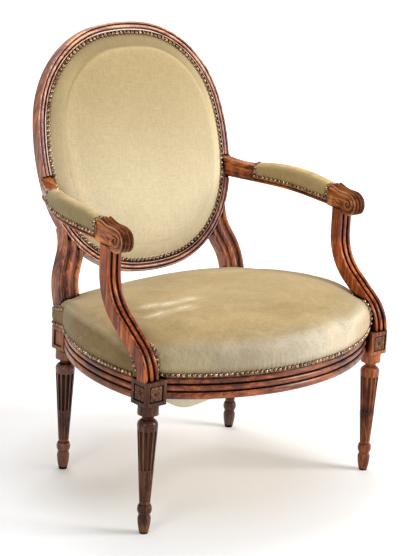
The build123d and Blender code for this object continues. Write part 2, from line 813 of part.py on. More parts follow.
def arm_body(gap=0.0):
    """The right arm behind the hand rest, cut square where it lands on the medallion."""
    half = arm_width / 2 + gap
    low, high = -arm_underside - gap, arm_joint_height + overrun
    profile = outline((-half, low), [(-half, high), (half, high), (half, low)])
    body = arm_run(profile, hand_rest_length - hand_rest_overlap)
    joint_y = arm_plane.to_local_coords(back_plane.from_local_coords((arm_joint_u, arm_joint_v, 0))).Y
    far = joint_y + 2 * arm_overrun
    dip = (arm_rear_height + arm_joint_height) / 2 - hand_rest_dip / 2
    side = outline(
        (hand_rest_length - overrun, low),
        [
            (hand_rest_length - overrun, arm_seat + gap),
            (pad_end, arm_seat + gap),
            (pad_end, arm_rear_height + gap),
            (((pad_end + joint_y) / 2, dip + gap), (joint_y, arm_joint_height + gap)),
            (far, arm_joint_height + gap),
            (far, low),
        ],
    )
    plane = Plane(origin=(stump_x, 0, 0), x_dir=(0, 1, 0), z_dir=(1, 0, 0))
    body = body & extrude(plane * side, amount=stump_x, both=True)
    body = split(arm_plane * body, bisect_by=back_plane, keep=Keep.TOP)
    return body


def arm_grooves():
    """A fine groove along the lower edge of each side of the arm."""
    shapes = []
    base = -arm_underside + arm_groove_height
    for way in (-1, 1):
        inner, outer = way * (arm_width / 2 - arm_groove_depth), way * (arm_width / 2 + arm_groove_depth)
        profile = outline(
            (inner, base),
            [(outer, base), (outer, base + arm_groove_width), (inner, base + arm_groove_width)],
        )
        shapes.append(arm_plane * arm_run(profile, hand_rest_length))
    return shapes


def arm_tenon(gap=0.0):
    """The tenon that enters the medallion's flank."""
    half_u, half_v = arm_tenon_width / 2 + gap, arm_tenon_height / 2 + gap
    box = span(
        arm_joint_u - half_u, arm_joint_u + half_u, arm_joint_v - half_v, arm_joint_v + half_v,
        -arm_tenon_length - gap, 0,
    )
    return back_plane * box


def arm_end_heights():
    """Top and bottom of the arm's end, up the back plane, through the mouldings' height."""
    face = frame_face + frame_bead_rise
    far = 2 * nail_line_half_height
    end = back_plane.to_local_coords(arm_body()) & span(0, far, -far, far, 0, face)
    box = end.bounding_box()
    return box.max.Y + seating_gap, box.min.Y - seating_gap


def arm_notch():
    """Room in the arm's end for the edge of the back's cover."""
    far = 2 * nail_line_half_height
    edge = nail_line_half_width + back_cover_flange + fit_gap
    return back_plane * span(0, edge, -far, far, -overrun, cloth_thickness + soft_gap + fit_gap)


def arm():
    """The right arm in one piece: hand rest, body and rear tenon."""
    whole = arm_plane * hand_rest() + (arm_body() - arm_notch()) + arm_tenon()
    return whole - arm_grooves() - [stump_head_tenon(joint_gap)]


def seat_dome(top):
    """The crowned upper surface: a depth-wise arc swung about a long axis below."""
    front = seat_crown_y - front_bow_radius
    rear = seat_crown_y + front_bow_radius
    drop = front_bow_radius**2 / (2 * seat_crown_depth_radius)
    low = rail_base - top
    face = outline(
        (front, low),
        [(front, -drop), ((seat_crown_y, 0), (rear, -drop)), (rear, low)],
    )
    swing = 2 * degrees(atan2(front_bow_radius, seat_crown_width_radius))
    side = Plane(origin=(0, 0, top), x_dir=(0, 1, 0), z_dir=(1, 0, 0))
    axis = Axis((0, 0, top - seat_crown_width_radius), (0, 1, 0))
    start = (side * face).rotate(axis, -swing / 2)
    return revolve(start, axis=axis, revolution_arc=swing)


def shouldered_face(reach, start, base, shrink):
    """Half of the seat's side outline: an upright side, a rounded shoulder and a slow rise."""
    shoulder, rim = seat_shoulder_height - shrink, seat_rim_height - shrink
    inner = reach - seat_shoulder_reach
    return outline(
        (start, base),
        [
            (reach, base),
            (reach, shoulder),
            rounded((reach, shoulder), (inner, rim)),
            (start, rim + (inner - start) * seat_rise_share),
        ],
    )


def shouldered_disc(middle, radius, base, shrink):
    """A round slab whose upper edge rolls over, for one bowed side of the seat."""
    face = shouldered_face(radius, 0, base, shrink)
    return Pos(*middle, 0) * revolve(Plane.XZ * face, axis=Axis.Z)


def seat_form(base, reach, shrink):
    """The seat's crowned body over the rails, at a reach outside them."""
    wide, deep = 2 * front_leg_x, 2 * front_bow_radius
    shape = shouldered_disc((0, front_bow_middle_y), front_bow_radius + reach, base, shrink)
    corner_front = stump_front_y + stump_depth / 4 - reach
    corner = span(
        stump_x - stump_width / 2 - seat_corner_reach, wide,
        corner_front, corner_front + seat_corner_depth, base, seat_corner_height - shrink,
    )
    shape += [corner, mirrored(corner)]
    flank = shouldered_disc(side_bow_middle, side_bow_radius + reach, base, shrink)
    shape = seat_dome(seat_crown_height - shrink) & shape & flank & mirrored(flank)
    back = rear_rail_face + rebate_setback + reach
    side = Plane(origin=(0, 0, 0), x_dir=(0, 1, 0), z_dir=(1, 0, 0))
    slab = extrude(side * shouldered_face(back, -deep, base, shrink), amount=wide, both=True)
    shape = shape & slab
    rear_corner = span(
        rear_block_inner_x, rear_block_outer_x + rebate_setback + reach,
        rear_block_front_y, back, base, seat_corner_height - shrink,
    )
    return shape + [rear_corner, mirrored(rear_corner)]


def clear_of_frame(shape):
    """Notches a piece of upholstery round the stumps and uprights, without the scraps in front."""
    posts = [upright_envelope(fit_gap), stump_run(fit_gap)]
    shape = shape - posts - [mirrored(post) for post in posts]
    return shape.solids().sort_by(SortBy.VOLUME)[-1]


def seat_layers():
    """Heights of the seat's layers above the rails."""
    webs = rail_top
    canvas = webs + 2 * webbing_thickness + 2 * back_web_gap
    stuffing = canvas + canvas_thickness + soft_gap
    return webs, canvas, stuffing


def seat_webbing():
    """Crossed straps on top of the rails, in two layers."""
    floor = rail_top
    field = seat_plan(-webbing_inset, floor, floor + webbing_thickness)
    upper = floor + webbing_thickness + back_web_gap
    field_above = seat_plan(-webbing_inset, upper, upper + webbing_thickness)
    half, wide = webbing_width / 2, 2 * front_leg_x
    webs = []
    for number in range(seat_webs_along):
        x = (number - (seat_webs_along - 1) / 2) * seat_web_pitch_along
        webs.append(field & span(x - half, x + half, -wide, wide, floor, upper))
    for number in range(seat_webs_across):
        y = seat_web_middle_y + (number - (seat_webs_across - 1) / 2) * seat_web_pitch_across
        webs.append(field_above & span(-wide, wide, y - half, y + half, upper, upper + webbing_thickness))
    return webs


def seat_plan(reach, low, high):
    """The seat's plain outline between two heights."""
    middle = (low + high) / 2
    front = Pos(0, front_bow_middle_y, middle) * Cylinder(front_bow_radius + reach, high - low)
    flank = Pos(*side_bow_middle, middle) * Cylinder(side_bow_radius + reach, high - low)
    shape = front & flank & mirrored(flank)
    wide = 2 * front_leg_x
    return shape & span(-wide, wide, -wide, rear_rail_face + reach, low, high)


def seat_canvas():
    base = seat_layers()[1]
    return clear_of_frame(seat_plan(-webbing_inset, base, base + canvas_thickness))


def seat_stuffing():
    return clear_of_frame(seat_form(seat_layers()[2], -fit_gap, cloth_thickness + soft_gap))


def seat_cover():
    """The fitted velvet cover, a shell over the stuffing that laps the rails' rebate."""
    outer = seat_form(seat_cover_base, seat_cover_reach, 0)
    inner = seat_form(seat_cover_base - overrun, seat_cover_reach - cloth_thickness, cloth_thickness)
    return clear_of_frame(outer - inner)


def seat_bottom_cloth():
    """The thin cloth under the seat, tacked to the rails and sagging in the middle."""
    top = rail_base
    low = top - dust_cloth_thickness
    sheet = seat_plan(-dust_cloth_inset, low, top)
    for x, y, width, depth in (
        (front_leg_x, front_leg_y, front_block_width, front_block_depth),
        (rear_leg_x, rear_leg_y, rear_block_width, rear_block_depth),
    ):
        half_x, half_y = width / 2 + fit_gap, depth / 2 + fit_gap
        notch = span(x - half_x, x + half_x, y - half_y, y + half_y, low - overrun, top + overrun)
        sheet -= [notch, mirrored(notch)]
    radius = (dust_cloth_dish_radius**2 + dust_cloth_sag**2) / (2 * dust_cloth_sag)
    middle = Pos(0, dust_cloth_dish_y, top - dust_cloth_sag + radius)
    place = Pos(0, dust_cloth_dish_y, top)
    sheet -= place * Cylinder(dust_cloth_dish_radius, overrun)
    shell = middle * Sphere(radius + dust_cloth_thickness) - middle * Sphere(radius)
    bowl = shell & place * Pos(0, 0, -overrun / 2) * Cylinder(dust_cloth_dish_radius + dust_cloth_thickness, overrun)
    return sheet + bowl


def back_webbing():
    """Crossed straps in the frame's inner rebate."""
    floor = -inner_step_depth + soft_gap
    upper = floor + webbing_thickness + back_web_gap
    field = medallion_face(-inner_step_reach - fit_gap)
    lower_field = Pos(0, 0, floor) * extrude(field, amount=webbing_thickness)
    upper_field = Pos(0, 0, upper) * extrude(field, amount=webbing_thickness)
    half, far = webbing_width / 2, 2 * nail_line_half_height
    webs = []
    for number in range(back_webs_along):
        u = (number - (back_webs_along - 1) / 2) * back_web_pitch
        webs.append(lower_field & span(u - half, u + half, -far, far, floor, upper))
    for number in range(back_webs_across):
        v = (number - (back_webs_across - 1) / 2) * back_web_pitch
        webs.append(upper_field & span(-far, far, v - half, v + half, upper, upper + webbing_thickness))
    return [back_plane * web for web in webs]


def back_canvas_base():
    return -inner_step_depth + soft_gap + 2 * webbing_thickness + 2 * back_web_gap


def back_canvas():
    """The canvas over the straps, tacked on the frame's rebate."""
    base = back_canvas_base()
    face = medallion_face(-inner_step_reach - fit_gap)
    return back_plane * (Pos(0, 0, base) * extrude(face, amount=canvas_thickness))


def back_form(base, reach, shrink):
    """The back pad: a sloping border that rises to a crowned plateau."""
    edge = reach - back_pad_edge
    top = back_pad_border_height - shrink
    inner = reach - back_pad_border
    crown = back_pad_crown_height - shrink
    profile = outline(
        (inner, base),
        [
            (inner, top),
            (((edge + inner) / 2 - back_pad_edge_height / 2, top * back_pad_swell_share),
             (edge, back_pad_edge_height - shrink)),
            (edge, base),
        ],
    )
    border = [medallion_run(profile, side) for side in range(4)]
    plateau = extrude(medallion_face(inner), amount=crown - base)
    plateau = Pos(0, 0, base) * plateau
    half = nail_line_half_height - back_pad_border
    radius = (half**2 + (crown - top) ** 2) / (2 * (crown - top))
    dome = Pos(0, 0, crown - radius) * Sphere(radius)
    return (plateau & dome).fuse(*border)


def back_stuffing():
    base = back_canvas_base() + canvas_thickness + soft_gap
    return back_plane * back_form(base, -back_cover_wall - soft_gap, cloth_thickness + soft_gap)


def back_cover_front():
    """The velvet on the front of the back, with the edge that the nails hold."""
    floor = soft_gap
    shell = back_form(floor, 0, 0) - back_form(floor - overrun, -back_cover_wall, cloth_thickness)
    edge = extrude(medallion_face(back_cover_flange), amount=cloth_thickness)
    edge -= extrude(medallion_face(-back_pad_edge - back_cover_wall / 2), amount=2 * cloth_thickness)
    return back_plane * (shell + Pos(0, 0, floor) * edge)


def back_cover_rear():
    """The velvet on the back of the frame."""
    face = medallion_face(rear_cloth_reach)
    sheet = Pos(0, 0, -frame_thickness - soft_gap - rear_cloth_thickness) * extrude(face, amount=rear_cloth_thickness)
    return back_plane * sheet


def pad_form(shrink):
    """The right arm pad: a round-topped strip on the arm, rolled down at both ends."""
    half, top = pad_width / 2 - shrink, pad_crown_height - shrink
    low = -pad_skirt if shrink == 0 else -pad_skirt - overrun
    knee = top * pad_knee_share
    shoulder_x = half * pad_shoulder_width_share
    shoulder = top - (top - knee) * pad_shoulder_drop_share
    profile = outline(
        (-half, low),
        [
            (-half, knee),
            ((-shoulder_x, shoulder), (0, top)),
            ((shoulder_x, shoulder), (half, knee)),
            (half, low),
        ],
    )
    body = arm_run(profile, hand_rest_length)
    front, rear = hand_rest_length + soft_gap + shrink, pad_end - soft_gap - shrink
    front_top, rear_top = pad_front_height - shrink, pad_rear_height - shrink
    side = outline(
        (front, low),
        [
            (front, front_top - pad_end_round),
            rounded((front, front_top - pad_end_round), (front + pad_end_round, front_top)),
            (((front + rear) / 2, top), (rear - pad_end_round, rear_top)),
            ((rear - pad_end_round * quarter_round_share, rear_top - pad_end_round * quarter_round_share),
             (rear, rear_top - pad_end_round)),
            (rear, low),
        ],
    )
    plane = Plane(origin=(stump_x, 0, 0), x_dir=(0, 1, 0), z_dir=(1, 0, 0))
    return body & extrude(plane * side, amount=stump_x, both=True)


def arm_pad_cover():
    """The velvet over the arm pad, lapping both sides of the arm."""
    return arm_plane * (pad_form(0) - pad_form(cloth_thickness)) - arm_body(seating_gap)


def arm_pad_stuffing():
    """The hair under the pad's cover."""
    base = arm_seat + soft_gap
    room = span(0, 2 * stump_x, -overrun, pad_end + overrun, base, base + 2 * overrun)
    return arm_plane * (pad_form(cloth_thickness + soft_gap) & room)


def solids_of(shape):
    """Every solid of a shape, or of a list of shapes."""
    shapes = shape if isinstance(shape, list) else [shape]
    return [solid for piece in shapes for solid in piece.solids()]


def build_chair():
    """Every piece of the chair by name."""
    right = {
        "front_leg": front_leg(),
        "rear_post": rear_post(),
        "side_rail": side_rail(),
        "arm_stump": arm_stump(),
        "arm": arm(),
        "arm_pad_stuffing": arm_pad_stuffing(),
        "arm_pad_cover": arm_pad_cover(),
        "medallion_stile": medallion_member(1),
    }
    pieces = {}
    for name, shape in right.items():
        pieces[name + "_right"] = shape
        pieces[name + "_left"] = mirrored(shape)
    pegs = right_pegs()
    uprights = upright_dowels()
    pieces.update(
        front_rail=front_rail(),
        rear_rail=rear_rail(),
        medallion_crest=medallion_member(0),
        medallion_foot=medallion_member(2),
        joint_pegs=pegs + [mirrored(shape) for shape in pegs],
        back_dowels=frame_dowels() + uprights + [mirrored(shape) for shape in uprights],
        seat_webbing=seat_webbing(),
        seat_canvas=seat_canvas(),
        seat_stuffing=seat_stuffing(),
        seat_cover=seat_cover(),
        seat_bottom_cloth=seat_bottom_cloth(),
        back_webbing=back_webbing(),
        back_canvas=back_canvas(),
        back_stuffing=back_stuffing(),
        back_cover_front=back_cover_front(),
        back_cover_rear=back_cover_rear(),
    )
    return {name: solids_of(shape) for name, shape in pieces.items()}


def write_parts(pieces):
    """Moves the chair onto its origin and writes one file for each piece."""
    box = Compound([solid for solids in pieces.values() for solid in solids]).bounding_box()
    shift = Pos(-box.center().X, -box.center().Y, -box.min.Z)
    print("shift", tuple(round(value, 3) for value in shift.position), "size", box.size)
    os.makedirs("parts", exist_ok=True)
    for name, solids in pieces.items():
        moved = [shift * solid for solid in solids]
        export_step(moved[0] if len(moved) == 1 else Compound(moved), f"parts/{name}.step")


write_parts(build_chair())
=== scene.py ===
import bpy
import math
import random
import numpy as np
from mathutils import Matrix, Vector, noise
from mathutils.bvhtree import BVHTree


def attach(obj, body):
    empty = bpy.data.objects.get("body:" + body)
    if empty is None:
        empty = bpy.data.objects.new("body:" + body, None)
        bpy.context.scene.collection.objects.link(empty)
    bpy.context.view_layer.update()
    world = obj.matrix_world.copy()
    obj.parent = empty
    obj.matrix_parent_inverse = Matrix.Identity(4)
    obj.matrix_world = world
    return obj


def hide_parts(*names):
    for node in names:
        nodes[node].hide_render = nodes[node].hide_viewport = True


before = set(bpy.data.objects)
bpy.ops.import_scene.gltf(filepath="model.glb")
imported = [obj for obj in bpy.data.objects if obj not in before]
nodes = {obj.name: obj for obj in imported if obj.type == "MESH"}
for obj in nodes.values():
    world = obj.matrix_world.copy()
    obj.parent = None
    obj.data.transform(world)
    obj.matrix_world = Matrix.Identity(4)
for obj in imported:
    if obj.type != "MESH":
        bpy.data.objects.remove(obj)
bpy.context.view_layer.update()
print("frame loaded:", len(nodes), "nodes")

# Places that several pieces share, in millimetres as the chair is drawn.
# put() turns them into metres on the frame.
chair = {
    "shiftBack": 16.947,
    "backRake": 15.3,
    "backY": 225.0,
    "backHeight": 691.0,
    "armTilt": 4.0,
    "scrollY": -142.0,
    "scrollHeight": 594.0,
    "stumpX": 324.0,
    "stumpHalf": 17.5,
    "frontBowY": 99.29,
    "frontBowRadius": 452.0,
    "sideBowX": -144.46,
    "sideBowY": -140.8,
    "sideBowRadius": 486.0,
    "puckerPitch": 10.6,
    "room": 0.6,
}

# the medallion's nail line, shared by the wood's bead, the back pad and its nails
oval = {
    "halfWidth": 240.0,
    "halfHeight": 254.4,
    "crestRadius": 440.7,
    "flankRadius": 445.4,
    "cornerRadius": 209.3,
    "cornerX": 26.647,
    "cornerY": 43.561,
    "crestHalf": 6.6125,
    "flankHalf": 10.632,
}


def put(points):
    return (np.asarray(points, float) + np.array([0, chair["shiftBack"], 0])) / 1000


def backPoints(u, v, w):
    # u across, v up the rake, w forward out of the back
    tilt = math.radians(chair["backRake"])
    u, v, w = np.broadcast_arrays(np.asarray(u, float), v, w)
    y = chair["backY"] + v * math.sin(tilt) - w * math.cos(tilt)
    z = chair["backHeight"] + v * math.cos(tilt) + w * math.sin(tilt)
    return np.stack([u, y, z], -1)


def armPoints(x, along, up):
    # along the arm's own plane, which rises to the back
    tilt = math.radians(chair["armTilt"])
    x, along, up = np.broadcast_arrays(np.asarray(x, float), along, up)
    y = chair["scrollY"] + along * math.cos(tilt) - up * math.sin(tilt)
    z = chair["scrollHeight"] + along * math.sin(tilt) + up * math.cos(tilt)
    return np.stack([x, y, z], -1)


def heightOut(points):
    # how far points stand forward of the back's plane
    tilt = math.radians(chair["backRake"])
    points = np.asarray(points, float) - np.array([0, chair["backY"], chair["backHeight"]])
    return points @ np.array([0, -math.cos(tilt), math.sin(tilt)])


def heightUp(points):
    # how far points stand up the rake from the back's middle
    tilt = math.radians(chair["backRake"])
    rise = points[..., 2] - chair["backHeight"]
    return (points[..., 1] - chair["backY"]) * math.sin(tilt) + rise * math.cos(tilt)


def linkNew(name, data):
    piece = bpy.data.objects.new(name, data)
    bpy.context.scene.collection.objects.link(piece)
    return piece


def newMesh(name, points, faces, material=None, smooth=True):
    mesh = bpy.data.meshes.new(name)
    mesh.from_pydata([tuple(p) for p in points], [], faces)
    mesh.polygons.foreach_set("use_smooth", [smooth] * len(mesh.polygons))
    mesh.update()
    if material:
        mesh.materials.append(material)
    return linkNew(name, mesh)


def ringsMesh(name, rings, material):
    # rings of equal length, joined in turn and closed at the middle of both ends
    rings = np.asarray(rings, float)
    count, size = rings.shape[:2]
    first, last = count * size, (count - 1) * size
    faces = []
    for base in range(0, last, size):
        for i in range(size):
            j = (i + 1) % size
            faces.append((base + i, base + j, base + size + j, base + size + i))
    faces += [(first, (i + 1) % size, i) for i in range(size)]
    faces += [(first + 1, last + i, last + (i + 1) % size) for i in range(size)]
    points = np.vstack([rings.reshape(-1, 3), rings[0].mean(0), rings[-1].mean(0)])
    return newMesh(name, points, faces, material)


def mirrored(rings, side):
    # rings drawn for the right side, turned into metres and to the side that is wanted
    rings = put(np.array(rings))
    rings[..., 0] *= side
    return rings


def finishPiece(piece, slotName, *replaced):
    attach(piece, "root")
    if replaced:
        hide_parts(*replaced)
    return piece


def outwards(piece):
    # turns a closed piece's faces out
    volume = 0.0
    for polygon in piece.data.polygons:
        corners = [piece.data.vertices[i].co for i in polygon.vertices]
        for k in range(1, len(corners) - 1):
            volume += corners[0].dot(corners[k].cross(corners[k + 1]))
    if volume < 0:
        piece.data.flip_normals()
    return piece


def surfaceOf(piece):
    corners = [v.co for v in piece.data.vertices]
    return BVHTree.FromPolygons(corners, [tuple(p.vertices) for p in piece.data.polygons])


def touch(surface, start, aim):
    # where a line from start towards aim first meets a surface, and how that place faces
    start, aim = Vector(put(start)), Vector(put(aim))
    spot, normal, _, _ = surface.ray_cast(start, (aim - start).normalized())
    if spot is None:
        return None
    if normal.dot(aim - start) > 0:
        normal = -normal
    back = np.array(spot) * 1000 - np.array([0, chair["shiftBack"], 0])
    return np.array([*back, *normal])


def evaluated(piece):
    return piece.evaluated_get(bpy.context.evaluated_depsgraph_get())


def walkedAlong(points):
    # how far along a line each of its points lies
    return np.concatenate([[0], np.cumsum(np.linalg.norm(np.diff(points, axis=0), axis=1))])


def unitRows(ways):
    return ways / np.linalg.norm(ways, axis=1)[:, None]


def closedNormals(line):
    # outward directions along a closed line that runs to the left round its middle
    tangent = unitRows(np.roll(line, -1, 0) - np.roll(line, 1, 0))
    return np.column_stack([tangent[:, 1], -tangent[:, 0]])


def dents(spots, level, size, depth):
    # slow unevenness: how far each spot of a cover stands out
    return np.array([depth * noise.noise(Vector((*spot, level)) / size) for spot in spots])


def smoothLine(points, count):
    # a soft curve through a few points
    points = np.asarray(points, float)
    points = np.vstack([2 * points[0] - points[1], points, 2 * points[-1] - points[-2]])
    result = []
    spans = len(points) - 3
    for k in range(count):
        place = spans * k / (count - 1)
        i = min(int(place), spans - 1)
        t = place - i
        a, b, c, d = points[i:i + 4]
        bend, twist = 2 * a - 5 * b + 4 * c - d, 3 * b - a - 3 * c + d
        result.append(0.5 * (2 * b + (c - a) * t + bend * t ** 2 + twist * t ** 3))
    return np.array(result)


def blend(low, high, values):
    # a soft step from 0 to 1 between two limits
    share = np.clip((np.asarray(values, float) - low) / (high - low), 0, 1)
    return share * share * (3 - 2 * share)


stretch = {
    "frames": 20,
    "quality": 5,
    "mass": 0.3,
    "tension": 25,
    "shear": 12,
    "bending": 1.2,
    "passes": 25,
    "mostPasses": 600,
    "acrossPasses": 6,
}


def swell(piece, nailed, pressure):
    # how each point of a closed pad moves under pressure, with its nailed points held fast
    group = piece.vertex_groups.new(name="nailed")
    group.add([int(i) for i in nailed], 1.0, "REPLACE")
    cloth = piece.modifiers.new("stretchedVelvet", "CLOTH")
    settings = cloth.settings
    settings.quality = stretch["quality"]
    settings.mass = stretch["mass"]
    settings.tension_stiffness = settings.compression_stiffness = stretch["tension"]
    settings.shear_stiffness = stretch["shear"]
    settings.bending_stiffness = stretch["bending"]
    settings.use_pressure = True
    settings.uniform_pressure_force = pressure
    settings.vertex_group_mass = "nailed"
    settings.effector_weights.gravity = 0
    cloth.point_cache.frame_start = 1
    cloth.point_cache.frame_end = stretch["frames"]
    for number in range(1, stretch["frames"] + 1):
        bpy.context.scene.frame_set(number)
    swollen = np.array([v.co for v in evaluated(piece).data.vertices])
    before = np.array([v.co for v in piece.data.vertices])
    piece.modifiers.clear()
    piece.vertex_groups.clear()
    bpy.context.scene.frame_set(1)
    return before, swollen - before


def evenOut(before, moves, nailed, ring):
    # smooths moves round each ring and then across the rings, which get shorter towards
    # the middle, where their points need more of it
    rounds = len(before) // ring
    loose = np.ones(len(before))
    loose[nailed] = 0
    loose = loose[:rounds * ring].reshape(rounds, ring, 1)
    around = moves[:rounds * ring].reshape(rounds, ring, 3)
    away = before[:rounds * ring].reshape(rounds, ring, 3) - before.mean(0)
    size = np.linalg.norm(away, axis=2).mean(1)
    passes = np.clip(stretch["passes"] * (size.max() / np.maximum(size, 0.01)) ** 2,
                     stretch["passes"], stretch["mostPasses"])
    for number in range(rounds):
        for _ in range(int(passes[number])):
            evened = (np.roll(around[number], 1, 0) + 2 * around[number] + np.roll(around[number], -1, 0)) / 4
            around[number] += (evened - around[number]) * loose[number]
    for _ in range(stretch["acrossPasses"]):
        evened = (around[:-2] + 2 * around[1:-1] + around[2:]) / 4
        around[1:-1] += (evened - around[1:-1]) * loose[1:-1]
    moves[:rounds * ring] = around.reshape(-1, 3)
    moves[-1] = around[-1].mean(0)


def plump(piece, nailed, pressure, cap, ring=0, calm=None):
    # swells a pad as stuffing does, by at most cap; a flat pad's moves are evened out
    # ring is how many points go round a flat pad's rings, calm how much less each point swells
    before, moves = swell(piece, nailed, pressure)
    lengths = np.linalg.norm(moves, axis=1)
    print(piece.name, "swells by up to", round(float(lengths.max()) * 1000, 1), "mm")
    moves *= np.minimum(1, cap / np.maximum(lengths, 1e-9))[:, None]
    if calm is not None:
        moves *= (1 - calm)[:, None]
    if ring:
        evenOut(before, moves, nailed, ring)
    piece.data.vertices.foreach_set("co", (before + moves).ravel())
    piece.data.update()


# materials

def fillInputs(tree, node, inputs):
    # links what is a socket and sets what is a value
    for key, value in inputs.items():
        if isinstance(value, bpy.types.NodeSocket):
            tree.links.new(value, node.inputs[key])
        else:
            node.inputs[key].default_value = value


def addNode(tree, kind, inputs=None, **settings):
    node = tree.nodes.new(kind)
    for key, value in settings.items():
        setattr(node, key, value)
    fillInputs(tree, node, inputs or {})
    return node


def addFirst(tree, kind, inputs=None, **settings):
    # a node of which only the first output is used
    return addNode(tree, kind, inputs, **settings).outputs[0]


def addRamp(tree, factor, *stops):
    node = addNode(tree, "ShaderNodeValToRGB", {"Fac": factor})
    elements = node.color_ramp.elements
    while len(elements) < len(stops):
        elements.new(0.5)
    for element, (position, colour) in zip(elements, stops):
        element.position = position
        element.color = (*(colour if isinstance(colour, tuple) else (colour,) * 3), 1)
    return node.outputs["Color"]


def addMix(tree, factor, first, second, blend="MIX"):
    first, second = [v if isinstance(v, bpy.types.NodeSocket) else (*v, 1) for v in (first, second)]
    inputs = {0: factor, 6: first, 7: second}
    return addNode(tree, "ShaderNodeMix", inputs, data_type="RGBA", blend_type=blend).outputs[2]


def addNoise(tree, vector, scale, detail=4.0, roughness=0.55, distortion=0.0):
    return addFirst(tree, "ShaderNodeTexNoise", {
        "Vector": vector, "Scale": scale, "Detail": detail, "Roughness": roughness, "Distortion": distortion})


def addMath(tree, operation, first, second=0.0, clamp=False):
    return addFirst(tree, "ShaderNodeMath", {0: first, 1: second}, operation=operation, use_clamp=clamp)


def times(tree, first, second, clamp=False):
    return addMath(tree, "MULTIPLY", first, second, clamp)


def plus(tree, first, second, clamp=False):
    return addMath(tree, "ADD", first, second, clamp)


def blended(tree, first, second, share):
    # two values in shares that add up to 1
    return plus(tree, times(tree, first, share), times(tree, second, 1 - share))


def addSpan(tree, value, low, high, first=0.0, last=1.0):
    # carries the values from low to high to those from first to last
    return addFirst(tree, "ShaderNodeMapRange", {
        "Value": value, "From Min": low, "From Max": high, "To Min": first, "To Max": last})


def stretched(tree, place, scale=(1, 1, 1), turn=(0, 0, 0)):
    return addFirst(tree, "ShaderNodeMapping", {"Vector": place, "Rotation": turn, "Scale": scale})


def openness(tree, distance, samples, inside=False):
    # 1 where nothing is near, less in a nook; inside looks into the piece, to find its edges
    settings = {"samples": samples, "inside": inside}
    return addNode(tree, "ShaderNodeAmbientOcclusion", {"Distance": distance}, **settings).outputs["AO"]


def addBump(tree, height, strength, distance):
    return addFirst(tree, "ShaderNodeBump", {"Height": height, "Strength": strength, "Distance": distance})


def startMaterial(name):
    material = bpy.data.materials.new(name)
    material.use_nodes = True
    tree = material.node_tree
    tree.nodes.clear()
    shader = addNode(tree, "ShaderNodeBsdfPrincipled")
    addNode(tree, "ShaderNodeOutputMaterial", {0: shader.outputs[0]})
    place = addNode(tree, "ShaderNodeTexCoord").outputs["Object"]
    return material, tree, shader, place


wood = {
    "dark": (0.048, 0.010, 0.005),
    "middle": (0.190, 0.040, 0.013),
    "light": (0.470, 0.130, 0.035),
    # near black, for dirt and painted shade in the grooves
    "groove": (0.005, 0.0018, 0.0012),
    # orange of worn edges, which also stands for painted highlights along the ridges
    "wornAndHighlit": (0.74, 0.34, 0.14),
    # pale pink of a painted highlight on the medallion's inner bead
    "beadHighlight": (0.90, 0.66, 0.57),
    # near black, for painted shade below the seat
    "belowSeatShade": (0.004, 0.002, 0.0015),
    "beadReach": 9.0,
    "grooveReach": 0.009,
    "edgeReach": 0.004,
    "toneSteps": (0.38, 0.49, 0.60),
}


def innerBeadHighlight(tree, place):
    # 1 along the medallion's inner bead, less to the right and below: where its painted highlight lies
    tilt = math.radians(chair["backRake"])
    centre = tuple(put([0, chair["backY"], chair["backHeight"]]))
    moved = addFirst(tree, "ShaderNodeVectorMath", {0: place, 1: centre}, operation="SUBTRACT")
    parts = addNode(tree, "ShaderNodeSeparateXYZ", {0: stretched(tree, moved, turn=(tilt, 0, 0))}).outputs
    across = addMath(tree, "DIVIDE", parts[0], (oval["halfWidth"] + wood["beadReach"]) / 1000)
    along = addMath(tree, "DIVIDE", parts[2], (oval["halfHeight"] + wood["beadReach"]) / 1000)
    reach = addMath(tree, "SQRT", plus(tree, times(tree, across, across), times(tree, along, along)))
    line = addMath(tree, "ABSOLUTE", addMath(tree, "SUBTRACT", reach, 1.0))
    band = addSpan(tree, line, 0.010, 0.022, 1.0, 0.0)
    side = addSpan(tree, addMath(tree, "SUBTRACT", along, across), -0.9, 0.7, 0.25, 1.0)
    return times(tree, band, side)


def liftedTones(lift):
    tones = [tuple(min(0.90, a * b) for a, b in zip(lift, wood[key])) for key in ("dark", "middle", "light")]
    return zip(wood["toneSteps"], tones)


